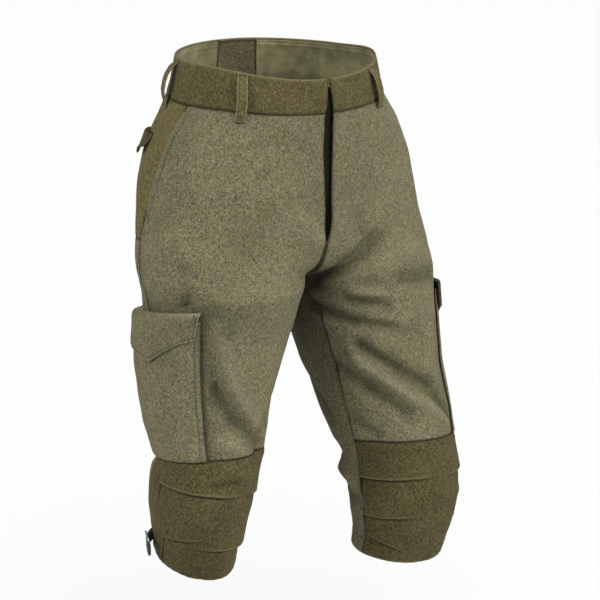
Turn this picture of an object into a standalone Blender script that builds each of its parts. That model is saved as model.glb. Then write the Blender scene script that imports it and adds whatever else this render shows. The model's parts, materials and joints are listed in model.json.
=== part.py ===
"""Knee breeches of heavy wool, standing as if worn.

Front is -Y, the wearer's right is -X. The origin is the middle of the waist,
half way up the waistband. All lengths are in metres.
"""
import math
from collections import namedtuple

import bmesh
import bpy
import numpy as np

# Cloth and seams
WALL = 0.0020            # wool panel
BAND_WALL = 0.0025       # doubled waistband
FACING_WALL = 0.0015
GAP = 0.0003             # between pieces that meet at a seam
BAND_LIFT = 0.0010       # the band stands over the panels' faces
FLAP_WALL = 0.0020
LOOP_WALL = 0.0016
SHIELD_WALL = 0.0012
WEB_WALL = 0.0016        # webbing of the hem straps
BAR = 0.0013             # radius of the buckle's wire

# Where the pieces end, in rows of the table below
BAND_FOOT = 1.0
CROTCH = 7.0
KNEE_TOP = 10.52         # the knee seam in the middle of the shin, and how it sinks beside it
KNEE_DIP = 2.4
HEM = 14.0
SEAT_FOOT = 4.8
# How many rows a row of the back falls towards the inseam, where it meets the front's rows
SEAT_DROP = ((1, 0), (SEAT_FOOT, 1.2), (5.6, 1.1), (6.0, 1.0), (6.7, 0.6), (7.0, 0.45), (7.9, 0))

ROLL = 0.020             # the waist sinks a little to the wearer's right
DROP = 0.15              # and the leg that stands ahead hangs lower, per metre of step
KICK = 0.45              # the right shin slants back more than the left one
SQUARE = 0.95            # under 1 makes the hip rings fuller at the corners
ROUND_DIP = 3.0          # above this row the waist dips to the front in a rounder curve

Section = namedtuple(
    "Section", "side front back tilt merge wide fore aft out fwd leg_w leg_f leg_b step more")
# One row per level. side, front, back: heights. merge: 0 one hip ring, 1 two legs.
# wide, fore, aft: the hip ring. out, fwd, leg_w, leg_f, leg_b: one leg's middle and
# half sizes. step: how far the left leg stands ahead. more: how much fuller it is.
SECTIONS = (
    Section(0.028, 0.005, 0.036, 0.00, 0.00, 0.141, 0.103, 0.147,
            0.100, 0.000, 0.100, 0.120, 0.120, 0.000, 0.000),
    Section(-0.027, -0.041, -0.014, 0.00, 0.00, 0.155, 0.110, 0.156,
            0.105, 0.000, 0.105, 0.125, 0.125, 0.000, 0.000),
    Section(-0.070, -0.080, -0.070, 0.00, 0.00, 0.185, 0.109, 0.165,
            0.108, -0.010, 0.108, 0.125, 0.128, 0.000, 0.000),
    Section(-0.125, -0.140, -0.130, 0.00, 0.00, 0.211, 0.108, 0.160,
            0.110, -0.020, 0.110, 0.122, 0.126, 0.000, 0.000),
    Section(-0.175, -0.195, -0.190, 0.00, 0.04, 0.220, 0.108, 0.149,
            0.112, -0.028, 0.112, 0.119, 0.123, 0.002, 0.000),
    Section(-0.215, -0.235, -0.235, 0.00, 0.18, 0.227, 0.109, 0.142,
            0.114, -0.026, 0.113, 0.115, 0.119, 0.002, 0.000),
    Section(-0.250, -0.262, -0.262, 0.00, 0.48, 0.228, 0.120, 0.144,
            0.115, -0.022, 0.114, 0.111, 0.115, 0.003, 0.000),
    Section(-0.285, -0.280, -0.280, 0.00, 1.00, 0.226, 0.128, 0.152,
            0.116, -0.022, 0.114, 0.108, 0.112, 0.005, 0.000),
    Section(-0.330, -0.325, -0.325, 0.00, 1.00, 0.225, 0.130, 0.152,
            0.120, -0.018, 0.112, 0.105, 0.107, 0.011, 0.002),
    Section(-0.400, -0.395, -0.395, 0.00, 1.00, 0.225, 0.130, 0.152,
            0.128, -0.021, 0.102, 0.099, 0.098, 0.020, 0.003),
    Section(-0.470, -0.465, -0.465, 0.02, 1.00, 0.225, 0.130, 0.152,
            0.139, -0.034, 0.091, 0.092, 0.090, 0.026, 0.006),
    Section(-0.530, -0.525, -0.525, 0.05, 1.00, 0.225, 0.130, 0.152,
            0.147, -0.048, 0.081, 0.083, 0.080, 0.030, 0.007),
    Section(-0.594, -0.589, -0.589, 0.14, 1.00, 0.225, 0.130, 0.152,
            0.151, -0.048, 0.072, 0.075, 0.072, 0.035, 0.008),
    Section(-0.648, -0.646, -0.646, 0.22, 1.00, 0.225, 0.130, 0.152,
            0.149, -0.042, 0.060, 0.063, 0.062, 0.041, 0.007),
    Section(-0.674, -0.674, -0.674, 0.23, 1.00, 0.225, 0.130, 0.152,
            0.144, -0.035, 0.058, 0.059, 0.059, 0.046, 0.006),
)

# Round each half t runs 0 at the front seam, 1/2 at the outer side, 1 at the back
# seam, and 0 and 1 are the inseam below the crotch. v counts the rows above.
SIDE_SEAM = ((1, 0.515), (2, 0.512), (3.2, 0.511), (3.9, 0.530), (4.6, 0.546), (5.5, 0.562),
             (6.5, 0.552), (7.5, 0.525), (8.5, 0.520), (10.0, 0.545), (11.2, 0.585), (12.0, 0.596),
             (13.8, 0.600), (14, 0.600))
INSEAM = ((7, 0), (7.6, 0.044), (8.2, 0.062), (9.1, 0.061), (10.6, 0.036), (12.1, 0.012), (14, 0))
FLY_RIGHT = ((0, 0.0010), (0.5, 0.0040), (1.2, 0.0100), (2.3, 0.0095),
             (3.3, 0.0070), (4.2, 0.0030), (4.6, 0.00015), (14, 0.00015))
FLY_LEFT = ((0, 0.0006), (1.0, 0.0012), (4.2, 0.0012), (4.6, 0.00015), (14, 0.00015))
BACK_GAP = ((0, 0.00015), (6.9, 0.00015), (7.1, 0.0006), (8.2, 0.0006), (8.6, 0.00015), (14, 0.00015))
VENT = ((0, 0.00015), (11.2, 0.00015), (11.6, 0.0009), (13.2, 0.0011), (14, 0.0012))

Fold = namedtuple("Fold", "side t0 v0 t1 v1 width depth")
# side -1 right, 1 left, 0 both; width and depth in metres, a ridge has depth > 0
FOLDS = (
    # right front, hip to knee
    Fold(-1, 0.395, 5.80, 0.420, 6.80, 0.013, -0.0030),
    Fold(-1, 0.415, 6.70, 0.425, 7.12, 0.009, -0.0048),
    Fold(-1, 0.160, 4.00, 0.210, 4.80, 0.022, -0.0020),
    Fold(-1, 0.090, 3.80, 0.030, 4.50, 0.013, 0.0022),
    Fold(-1, 0.352, 7.95, 0.300, 9.05, 0.011, 0.0045),
    Fold(-1, 0.300, 9.05, 0.220, 9.95, 0.011, 0.0048),
    Fold(-1, 0.335, 9.10, 0.285, 9.75, 0.011, -0.0060),
    Fold(-1, 0.285, 9.75, 0.172, 10.4, 0.012, -0.0062),
    Fold(-1, 0.310, 10.2, 0.255, 10.3, 0.012, 0.0034),
    Fold(-1, 0.100, 9.30, 0.170, 10.1, 0.014, -0.0030),
    Fold(-1, 0.330, 11.2, 0.265, 11.1, 0.008, -0.0034),
    Fold(-1, 0.270, 10.9, 0.190, 11.0, 0.010, 0.0028),
    Fold(-1, 0.600, 11.2, 0.605, 13.2, 0.024, 0.0058),
    # left front, hip to knee
    Fold(1, 0.065, 3.80, 0.075, 4.50, 0.009, -0.0022),
    Fold(1, 0.120, 4.95, 0.070, 5.70, 0.013, -0.0068),
    Fold(1, 0.070, 5.70, 0.045, 7.00, 0.015, -0.0060),
    Fold(1, 0.150, 5.90, 0.230, 5.50, 0.015, 0.0035),
    Fold(1, 0.160, 6.85, 0.240, 6.72, 0.012, -0.0040),
    Fold(1, 0.240, 6.72, 0.360, 6.95, 0.013, -0.0070),
    Fold(1, 0.130, 7.26, 0.185, 7.32, 0.008, 0.0042),
    Fold(1, 0.125, 7.55, 0.200, 7.72, 0.008, -0.0042),
    Fold(1, 0.040, 7.80, 0.128, 8.12, 0.009, -0.0055),
    Fold(1, 0.128, 8.12, 0.205, 8.26, 0.009, -0.0050),
    Fold(1, 0.220, 8.38, 0.262, 8.33, 0.008, -0.0028),
    Fold(1, 0.130, 8.62, 0.200, 9.07, 0.010, -0.0060),
    Fold(1, 0.200, 9.07, 0.270, 9.45, 0.011, -0.0072),
    Fold(1, 0.270, 9.45, 0.330, 10.2, 0.011, -0.0064),
    Fold(1, 0.115, 8.86, 0.200, 9.54, 0.011, 0.0056),
    Fold(1, 0.200, 9.54, 0.310, 10.2, 0.012, 0.0052),
    Fold(1, 0.068, 9.05, 0.120, 9.38, 0.010, -0.0040),
    Fold(1, 0.120, 9.38, 0.190, 9.92, 0.012, -0.0052),
    Fold(1, 0.060, 10.1, 0.100, 10.4, 0.009, -0.0026),
    Fold(1, 0.250, 11.7, 0.340, 11.8, 0.011, 0.0022),
    Fold(1, 0.170, 12.6, 0.260, 12.3, 0.009, 0.0022),
    # seat and the backs of the legs
    Fold(0, 0.970, 6.60, 0.720, 5.60, 0.016, -0.0060),
    Fold(-1, 0.960, 7.60, 0.760, 7.00, 0.015, -0.0050),
    Fold(1, 0.950, 7.90, 0.700, 6.90, 0.016, -0.0055),
    Fold(0, 0.980, 5.60, 0.800, 4.40, 0.017, 0.0040),
    Fold(-1, 0.720, 10.9, 0.940, 11.1, 0.011, -0.0055),
    Fold(1, 0.740, 11.2, 0.930, 11.1, 0.011, -0.0055),
    Fold(0, 0.780, 11.7, 0.920, 12.0, 0.010, -0.0045),
    Fold(-1, 0.800, 9.20, 0.950, 10.0, 0.014, -0.0040),
    Fold(1, 0.860, 9.00, 0.970, 10.1, 0.014, -0.0045),
    Fold(1, 0.930, 11.5, 0.985, 11.6, 0.011, 0.0050),
    Fold(1, 0.900, 12.2, 0.990, 12.1, 0.010, -0.0060),
)
LEAST_FOLD = 0.017       # narrower folds are spread to this width, and shallower by as much

Tuck = namedtuple("Tuck", "side t0 t1 v0 v1 depth")
TUCK_ABOVE = 0.016       # how far above and below its line a tuck moves the cloth
TUCK_BELOW = 0.012
TUCK_EDGE = 0.0016       # half the height of its step
# A knee dart: the cloth above laps over the cloth below, most at t0
TUCKS = (
    Tuck(-1, 0.52, 0.20, 11.26, 11.38, 0.0062),
    Tuck(-1, 0.03, 0.22, 11.60, 11.38, 0.0056),
    Tuck(1, 0.52, 0.26, 11.48, 11.38, 0.0064),
    Tuck(1, 0.01, 0.26, 11.52, 11.34, 0.0050),
    Tuck(-1, 0.52, 0.34, 12.62, 12.26, 0.0026),
    Tuck(-1, 0.05, 0.42, 12.60, 12.52, 0.0066),
    Tuck(1, 0.52, 0.30, 12.50, 12.46, 0.0036),
    Tuck(1, 0.01, 0.20, 12.44, 12.24, 0.0034),
    Tuck(1, 0.03, 0.20, 13.00, 13.46, 0.0034),
)

# Rows of the panels above the knee seam and below it
UPPER = (1.0, 1.25, 1.6, 2.0, 2.5, 3.0, 3.5, 4.0, 4.4, 4.8, 5.2, 5.6, 6.0, 6.35, 6.7,
         7.0, 7.3, 7.6, 7.9, 8.2, 8.6, 9.0, 9.4, 9.8, 10.2, KNEE_TOP)
LOWER = (KNEE_TOP, 10.85, 11.1, 11.26, 11.34, 11.46, 11.6, 11.9, 12.2, 12.38, 12.46, 12.56,
         12.8, 13.1, 13.35, 13.7, 14.0)

LEG_ROW = 0.055          # height of one row below the knee seam
FACING_ROWS = (0.05, 0.35, 0.7, 0.92, 1.25)
FACING_START = 0.11      # t where the facing shows behind the front opening
INSET_START = 0.87       # t where the left facing ends and the inset begins

# Cargo pocket: its edges as t, and how full it is across its width and down it
POCKET_FRONT = 0.369
POCKET_BACK = 0.625
POCKET_SLANT = 0.034     # its foot reaches so much further to the front, as t
POCKET_LEAN = 0.085      # and its top and foot fall so much for each metre to the back
POCKET_PUFF = 0.0085
POCKET_SINK = 0.0070     # its weight draws the leg in under it
# share of the width, share of the puff
POCKET_ACROSS = ((0, 0), (0.03, 0.25), (0.08, 0.60), (0.16, 0.93), (0.25, 1), (0.37, 1), (0.5, 1),
                 (0.63, 1), (0.75, 1), (0.84, 0.93), (0.92, 0.60), (0.97, 0.25), (1, 0))
# v, share of the puff
POCKET_DOWN = ((7.6, 1), (8.0, 1), (8.5, 1), (9.0, 1), (9.4, 0.96), (9.75, 0.80), (10.0, 0.52),
               (10.3, 0.34), (10.48, 0.20), (10.58, 0))
POCKET_EDGE = 0.0008     # the bag's edge over the leg's face

Flap = namedtuple("Flap", "t0 t1 top foot rise ends corner")
# foot: (share of the width, v). rise: (share of the depth, height over the leg).
# ends: share of the rise at both ends. corner: how far the lower corner at t1 stands off.
FLAP_END = 0.1           # share of the width over which a flap bends down to its ends
CARGO_FLAP = Flap(0.388, 0.629, 7.28, ((0, 8.06), (0.12, 8.11), (0.42, 8.50), (1, 8.20)),
                  ((0, 0.0029), (0.08, 0.0060), (0.2, 0.0141), (1, 0.0148)), 0.6, 0.001)
HIP_FLAP = Flap(0.730, 0.592, 1.98, ((0, 2.36), (0.5, 2.58), (1, 2.36)),
                ((0, 0.0023), (0.08, 0.0030), (0.2, 0.0040), (1, 0.0070)), 0.1, 0.007)

Loop = namedtuple("Loop", "name side middle lean bow")
# lean: how much further its top lies, as t. bow: how far it stands off, against the table
LOOPS = (Loop("right_front", -1, 0.285, 0.012, 1.0), Loop("right_back", -1, 0.635, 0, 1.8),
         Loop("left_front", 1, 0.209, -0.004, 1.2), Loop("left_back", 1, 0.635, 0, 1.3),
         Loop("centre_back", 1, 1.0, 0, 1.0))
LOOP_WIDE = 0.016
# v, height over the band's cloth
LOOP_RISE = ((0.02, 0.0030), (0.10, 0.0032), (0.22, 0.0060), (0.45, 0.0090), (0.70, 0.0096),
             (0.95, 0.0082), (1.12, 0.0052), (1.22, 0.0030), (1.30, 0.0029))

STRAP_V = 13.06
STRAP_WIDE = 0.030
# t, height over the leg
STRAP_RISE = ((0.735, 0.0023), (0.708, 0.0024), (0.680, 0.0026), (0.650, 0.0030), (0.625, 0.0042),
              (0.605, 0.0068), (0.590, 0.0102), (0.575, 0.0144), (0.560, 0.0186), (0.545, 0.0224),
              (0.530, 0.0256))
BUCKLE_BACK = 0.595      # t of the buckle's ends, over and under the webbing
BUCKLE_FRONT = 0.545
BUCKLE_RISE = ((BUCKLE_FRONT, 0.0190), (BUCKLE_BACK, 0.0109))
BUCKLE_ROOM = 0.0042     # wire's middle beyond the webbing's edge

SHIELD_RIGHT = -0.024    # the fly shield's edges, from the middle of the front
SHIELD_LEFT = 0.026
# v, depth behind the front's face
SHIELD_LOW = ((0.30, -0.0032), (0.8, -0.0039), (1.3, -0.0045), (1.9, -0.0048), (2.6, -0.0050),
              (3.3, -0.0052), (3.9, -0.0052), (4.4, -0.0052))

COLOURS = {
    "light_wool": (0.205, 0.188, 0.115, 1), "dark_wool": (0.098, 0.084, 0.040, 1),
    "band_wool": (0.120, 0.104, 0.051, 1), "lining": (0.102, 0.098, 0.056, 1),
    "inset_wool": (0.100, 0.085, 0.050, 1), "webbing": (0.030, 0.034, 0.024, 1),
    "tape": (0.014, 0.016, 0.010, 1), "steel": (0.56, 0.57, 0.58, 1),
}


def smooth(x):
    x = np.clip(x, 0.0, 1.0)
    return x * x * (3 - 2 * x)


def table(rows, v):
    """Value at v in a table of (v, value) rows."""
    return np.interp(v, [r[0] for r in rows], [r[1] for r in rows])


# Spline through the sections: every value at v
FIELDS = np.array(SECTIONS)
LAST = len(SECTIONS) - 1


def section_at(v):
    v = np.asarray(v, float)
    i = np.clip(v.astype(int), 0, LAST - 1)
    f = (v - i)[..., None]
    p1, p2 = FIELDS[i], FIELDS[i + 1]
    p0 = np.where((i > 0)[..., None], FIELDS[np.maximum(i - 1, 0)], 2 * p1 - p2)
    p3 = np.where((i + 2 <= LAST)[..., None], FIELDS[np.minimum(i + 2, LAST)], 2 * p2 - p1)
    mix = 0.5 * (2 * p1 + (p2 - p0) * f + (2 * p0 - 5 * p1 + 4 * p2 - p3) * f ** 2
                 + (3 * p1 - p0 - 3 * p2 + p3) * f ** 3)
    return Section(*np.moveaxis(mix, -1, 0))


def bare(side, t, v):
    """The garment's form without folds. Past 0 and 1, t goes on round the other half
    of the hips, or round the same leg."""
    side, t, v = np.broadcast_arrays(np.asarray(side, float), np.asarray(t, float), v)
    over, leg = (t < 0) | (t > 1), v >= CROTCH
    side = np.where(over & ~leg, -side, side)
    t = np.where(leg, np.where(over, t % 1, t), np.where(t < 0, -t, np.where(t > 1, 2 - t, t)))
    s = section_at(v)
    a, b = math.pi * t, 2 * math.pi * t
    front = t < 0.5
    hip_x = s.wide * np.abs(np.sin(a)) ** SQUARE
    hip_y = -np.where(front, s.fore, s.aft) * np.sign(np.cos(a)) * np.abs(np.cos(a)) ** SQUARE
    more = side * s.more
    leg_x = s.out - (s.leg_w + more) * np.cos(b)
    leg_y = s.fwd - (np.where(front, s.leg_f, s.leg_b) + more) * np.sin(b)
    m = np.clip(s.merge, 0, 1)
    x, y = (1 - m) * hip_x + m * leg_x, (1 - m) * hip_y + m * leg_y
    end = np.where(front, s.front, s.back)
    dip, round_dip = (1 - 2 * t) ** 2, np.cos(a) ** 2
    dip = dip + (round_dip - dip) * smooth((ROUND_DIP - v) / 2)
    z = s.side + (end - s.side) * dip
    z = (z + ROLL * side * x * (1 - smooth(-z / 0.28)) - DROP * side * s.step
         + s.tilt * (1 - KICK * side) * (y - s.fwd) * m)
    return np.stack([side * x, y - side * s.step, z], -1)


def outward(side, t, v):
    """Unit normal of the bare form."""
    dt, dv = 0.006, 0.06
    side, t, v = np.broadcast_arrays(np.asarray(side, float), np.asarray(t, float), v)
    # near the middle of the body a half keeps its own slope
    near = np.where(v < CROTCH, 0.0, -1.0)
    across = (bare(side, np.clip(t + dt, near, 1 - near), v)
              - bare(side, np.clip(t - dt, near, 1 - near), v))
    down = bare(side, t, np.clip(v + dv, 0, HEM)) - bare(side, t, np.clip(v - dv, 0, HEM))
    n = np.cross(down, across) * np.asarray(side, float)[..., None]
    return n / np.linalg.norm(n, axis=-1, keepdims=True)


RINGS = [np.linalg.norm(np.diff(bare(1, np.linspace(0, 1, 61), i), axis=0), axis=1).sum()
         for i in range(LAST + 1)]


def girth(v):
    """Length of half the hip ring, or of one leg's ring."""
    return np.interp(v, range(LAST + 1), RINGS)


def height(v):
    return np.interp(v, range(LAST + 1), FIELDS[:, 0])


def pocket_front(v):
    """t of the cargo pocket's front edge, which slants forward on its way down."""
    top, foot = POCKET_DOWN[0][0], POCKET_DOWN[-1][0]
    return POCKET_FRONT + POCKET_SLANT * (1 / 3 - np.clip((v - top) / (foot - top), 0, 1))


def leaned(t, v):
    """The row where row v of the cargo pocket lies: it falls towards the back."""
    z = height(v) - POCKET_LEAN * (t - pocket_front(v)) * girth(v)
    return np.interp(-z, -FIELDS[:, 0], range(LAST + 1))


def fold(side, t, v):
    """How far the folds and tucks move the cloth outward."""
    side, t, v = np.broadcast_arrays(np.asarray(side, float), t, v)
    out = np.zeros(t.shape)
    z, leg = height(v), smooth((v - CROTCH + 0.6) / 0.5)
    # on a leg a fold goes on past the inseam
    for turn, share in ((0, 1), (-1, leg), (1, leg)):
        x = (t + turn) * girth(v)
        for f in FOLDS:
            ax, az = f.t0 * girth(v), height(f.v0)
            bx, bz = f.t1 * girth(v), height(f.v1)
            k = np.clip(((x - ax) * (bx - ax) + (z - az) * (bz - az))
                        / ((bx - ax) ** 2 + (bz - az) ** 2), 0, 1)
            d2 = (x - ax - k * (bx - ax)) ** 2 + (z - az - k * (bz - az)) ** 2
            on = share * ((side == f.side) | (f.side == 0))
            wide = max(f.width, LEAST_FOLD)
            out += on * f.depth * f.width / wide * np.exp(-d2 / wide ** 2)
    # the doubled cloth of the cargo pocket holds its place flat
    top, foot = leaned(t, CARGO_FLAP.top), leaned(t, POCKET_DOWN[-1][0])
    before, behind = t - pocket_front(v), POCKET_BACK - t
    held = (smooth(before / 0.03 + 1) * smooth(behind / 0.04 + 1.4)
            * smooth((v - top) / 0.2 + 1.2) * smooth((foot - v) / 0.15 + 1.3))
    sunk = (smooth(before / 0.10 + 0.8) * smooth(behind / 0.10 + 0.8)
            * smooth((v - top) / 1.4 + 0.8) * smooth((foot - v) / 1.3 + 0.9))
    out = out * (1 - held) - POCKET_SINK * sunk
    for f in TUCKS:
        k = (t - f.t0) / (f.t1 - f.t0)
        line = f.v0 + (f.v1 - f.v0) * np.clip(k, 0, 1)
        near = (1 - smooth(k)) * (k > -0.05)
        gap = (v - line) * LEG_ROW
        lap = np.where(gap < 0, np.exp(gap / TUCK_ABOVE), -np.exp(-gap / TUCK_BELOW))
        lap = np.where(np.abs(gap) < TUCK_EDGE, -gap / TUCK_EDGE, lap)
        on = (side == f.side) | (f.side == 0)
        out += on * f.depth * near * lap * 0.5
    return out


def point(side, t, v, lift=0.0):
    """A point of the cloth, raised by lift."""
    side, t, v, lift = np.broadcast_arrays(np.asarray(side, float), t, v, lift)
    # at the hips, t under 0 or over 1 is a place on the other half
    over = ((t < 0) | (t > 1)) & (v < CROTCH)
    t = np.where(over & (t < 0), -t, np.where(over, 2 - t, t))
    side = np.where(over, -side, side)
    n = outward(side, t, v)
    return bare(side, t, v) + n * (fold(side, t, v) + lift)[..., None]


def finish(made, colour):
    """Gives a piece its own material and puts it with the others."""
    material = bpy.data.materials.new(made.name)
    material.use_nodes = True
    shader = material.node_tree.nodes["Principled BSDF"]
    steel = colour == "steel"
    shader.inputs["Base Color"].default_value = COLOURS[colour]
    shader.inputs["Roughness"].default_value = 0.35 if steel else 0.95
    shader.inputs["Metallic"].default_value = 1.0 if steel else 0.0
    made.data.materials.append(material)
    parts.objects.link(made)


def sheet(name, outer, inner, colour):
    """A grid shaped to the outer points, then extruded to the inner ones."""
    rows, cols = outer.shape[:2]
    bm = bmesh.new()
    bmesh.ops.create_grid(bm, x_segments=cols - 1, y_segments=rows - 1, size=1)
    row, col = bm.verts.layers.int.new("row"), bm.verts.layers.int.new("col")
    for vert in bm.verts:
        vert[col] = round((vert.co.x + 1) / 2 * (cols - 1))
        vert[row] = round((vert.co.y + 1) / 2 * (rows - 1))
    wall = bmesh.ops.extrude_face_region(bm, geom=bm.faces[:], use_keep_orig=True)
    within = {e for e in wall["geom"] if isinstance(e, bmesh.types.BMVert)}
    for vert in bm.verts:
        vert.co = (inner if vert in within else outer)[vert[row], vert[col]]
    bmesh.ops.recalc_face_normals(bm, faces=bm.faces)
    if bm.calc_volume(signed=True) < 0:
        bmesh.ops.reverse_faces(bm, faces=bm.faces)
    mesh = bpy.data.meshes.new(name)
    bm.to_mesh(mesh)
    bm.free()
    mesh.shade_smooth()
    finish(bpy.data.objects.new(name, mesh), colour)


def keep_side(points, side):
    """Holds a half's points on its own side of the middle."""
    points = points.copy()
    points[..., 0] = np.where(points[..., 0] * side < GAP / 2, side * GAP / 2, points[..., 0])
    return points


def panel(name, side, t, v, lift, wall, colour, whole=True):
    """A piece over the grid t, v of one half, its outer face raised by lift."""
    outer, inner = point(side, t, v, lift), point(side, t, v, np.asarray(lift) - wall)
    if whole:
        outer, inner = keep_side(outer, side), keep_side(inner, side)
    sheet(name, outer, inner, colour)


def grid(v_rows, left, right, cols, ease=None):
    """t and v grids; left and right are the piece's edges at each row."""
    v = np.asarray(v_rows, float)
    k = np.linspace(0, 1, cols) if ease is None else ease
    t = left[:, None] * (1 - k) + right[:, None] * k
    return t, np.repeat(v[:, None], cols, 1)


def trimmed(rows):
    """Rows of a piece, its first and last drawn in by half a seam gap."""
    v = np.array(rows, float)
    for i, way in ((0, 1), (-1, -1)):
        if v[i] not in (0.0, HEM):
            step = abs(height(v[i] + 0.01) - height(v[i] - 0.01)) / 0.02
            v[i] += way * GAP / 2 / step
    return v


def front_edge(side, v):
    return table(FLY_RIGHT if side < 0 else FLY_LEFT, v) / girth(v) + table(INSEAM, v)


def side_edge(v, way):
    gap = np.where(v > KNEE_TOP, table(VENT, v), GAP / 2)
    return table(SIDE_SEAM, v) + way * gap / girth(v)


def back_edge(v):
    return 1 - table(BACK_GAP, v) / girth(v) + table(INSEAM, v)


def knee_line(t, v):
    """Bends the knee seam, and the rows near it, down towards the sides."""
    return v + KNEE_DIP * (t - 0.25) ** 2 * smooth(1 - np.abs(v - KNEE_TOP) / 0.6)


def dropped(t, v):
    """Lets the seat's lower seam fall towards the middle of the back."""
    return v + table(SEAT_DROP, v) * smooth((t - 0.6) / 0.38)


def bent_edge(edge, bend, v):
    """t of an edge at rows that bend on their way across."""
    t = edge(v)
    for _ in range(4):
        t = edge(bend(t, v))
    return t


def loop_piece(loop):
    """A belt loop, sewn down at both ends and standing off between."""
    v, lift = np.array(LOOP_RISE).T
    lift = lift + (loop.bow - 1) * (lift - lift[-1]) * (lift > 0.0040)
    middle = loop.middle + loop.lean * (1 - v)
    half_wide = LOOP_WIDE / 2 / girth(v)
    t, vv = grid(v, middle - half_wide, middle + half_wide, 3)
    panel("belt_loop_" + loop.name, loop.side, t, vv, lift[:, None], LOOP_WALL, "band_wool",
          whole=False)


def flap_piece(name, side, flap, colour):
    """A pocket flap with a pointed foot."""
    k = np.linspace(0, 1, 11)
    share = np.array([0, 0.08, 0.2, 0.45, 0.72, 1.0])
    v = flap.top + (table(flap.foot, k)[None, :] - flap.top) * share[:, None]
    t = np.repeat((flap.t0 + (flap.t1 - flap.t0) * k)[None, :], len(share), 0)
    if flap is CARGO_FLAP:
        v = leaned(t, v)
    low = flap.rise[0][1]
    ends = flap.ends + (1 - flap.ends) * smooth(np.minimum(k, 1 - k) / FLAP_END)
    lift = low + np.outer(table(flap.rise, share) - low, ends) + flap.corner * np.outer(
        share ** 2, smooth((k - 0.3) / 0.7))
    panel(name, side, t, v, lift, FLAP_WALL, colour, whole=False)


def wire(name, path, radius, colour):
    """A closed wire through the points of path."""
    curve = bpy.data.curves.new(name, "CURVE")
    curve.dimensions = "3D"
    curve.bevel_depth, curve.bevel_resolution = radius, 2
    line = curve.splines.new("POLY")
    line.points.add(len(path) - 1)
    for spot, place in zip(line.points, path):
        spot.co = (*place, 1)
    line.use_cyclic_u = True
    finish(bpy.data.objects.new(name, curve), colour)


def half(side):
    """Every piece of one side of the garment."""
    word = "right" if side < 0 else "left"

    # Waistband and what lines it
    v = trimmed((0, 0.34, 0.67, BAND_FOOT))
    t, vv = grid(v, front_edge(side, v), back_edge(v), 27)
    panel("waistband_" + word, side, t, vv, BAND_LIFT, BAND_WALL, "band_wool")
    v = np.array(FACING_ROWS)
    under = BAND_LIFT - BAND_WALL - 2 * GAP
    low = np.interp(v, [0, 0.7, 0.92], [under, under - GAP, -WALL - 0.0012])[:, None]
    seam = GAP / 2 / girth(v)
    end = INSET_START if side > 0 else 1.0
    t, vv = grid(v, np.full(len(v), FACING_START), end - seam, 23)
    panel("waist_facing_" + word, side, t, vv, low, FACING_WALL, "lining")
    if side > 0:
        t, vv = grid(v, INSET_START + seam, back_edge(v), 5)
        panel("back_inset", side, t, vv, low, FACING_WALL, "inset_wool")

    # Panels of the body and legs
    def inner_edge(v):
        return front_edge(side, v)

    def outer_edge(v):
        return side_edge(v, -1)

    v = trimmed(UPPER)
    t, vv = grid(v, bent_edge(inner_edge, knee_line, v), bent_edge(outer_edge, knee_line, v), 22)
    panel("front_" + word, side, t, knee_line(t, vv), 0.0, WALL, "light_wool")
    v = trimmed(LOWER)
    t, vv = grid(v, bent_edge(inner_edge, knee_line, v), bent_edge(outer_edge, knee_line, v), 20)
    panel("knee_" + word, side, t, knee_line(t, vv), 0.0, WALL, "dark_wool")
    v = trimmed(UPPER[:UPPER.index(SEAT_FOOT) + 1])
    t, vv = grid(v, side_edge(v, 1), bent_edge(back_edge, dropped, v), 15)
    panel("seat_" + word, side, t, dropped(t, vv), 0.0, WALL, "dark_wool")
    v = trimmed(UPPER[UPPER.index(SEAT_FOOT):] + LOWER[1:])
    t, vv = grid(v, side_edge(v, 1), bent_edge(back_edge, dropped, v), 15)
    panel("back_leg_" + word, side, t, dropped(t, vv), 0.0, WALL, "light_wool")

    # Cargo pocket: a bag puffed from its stitched edges, open at the top
    across, rise = np.array(POCKET_ACROSS).T
    v, down = np.array(POCKET_DOWN).T
    t, vv = grid(v, pocket_front(v), np.full(len(v), POCKET_BACK), len(across), across)
    puff = WALL + POCKET_EDGE + POCKET_PUFF * np.outer(down, rise)
    panel("cargo_pocket_" + word, side, t, leaned(t, vv), puff, WALL, "light_wool")
    flap_piece("cargo_flap_" + word, side, CARGO_FLAP, "light_wool")
    flap_piece("hip_flap_" + word, side, HIP_FLAP, "dark_wool")

    # Hem strap through a wire buckle
    reach, lift = np.array(STRAP_RISE).T
    drop = STRAP_WIDE / 2 / LEG_ROW
    t, vv = np.meshgrid(reach, np.linspace(STRAP_V - drop, STRAP_V + drop, 4))
    panel("hem_strap_" + word, side, t, vv, lift[None, :], WEB_WALL, "webbing")
    buckle("buckle_" + word, side)


def buckle(name, side):
    """A rounded rectangle of wire that follows the leg, over and under the webbing."""
    middle, reach = (BUCKLE_BACK + BUCKLE_FRONT) / 2, (BUCKLE_BACK - BUCKLE_FRONT) / 2
    high = (STRAP_WIDE / 2 + BUCKLE_ROOM) / LEG_ROW
    path = []
    for turn, (cx, cy) in enumerate(((1, 1), (-1, 1), (-1, -1), (1, -1))):
        for angle in np.linspace(0, math.pi / 2, 4) + turn * math.pi / 2:
            t = middle + reach * (0.75 * cx + 0.25 * math.cos(angle))
            v = STRAP_V + high * (0.85 * cy + 0.15 * math.sin(angle))
            path.append(point(side, t, v, table(BUCKLE_RISE, t)))
    wire(name, np.array(path), BAR, "steel")


def fly():
    """The shield behind the front opening, across the middle."""
    v, low = np.array(SHIELD_LOW).T
    t = np.linspace(SHIELD_RIGHT, SHIELD_LEFT, 7)[None, :] / girth(v)[:, None]
    outer = point(1, t, v[:, None], low[:, None])
    inner = point(1, t, v[:, None], low[:, None] - SHIELD_WALL)
    sheet("fly_shield", outer, inner, "tape")


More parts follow.
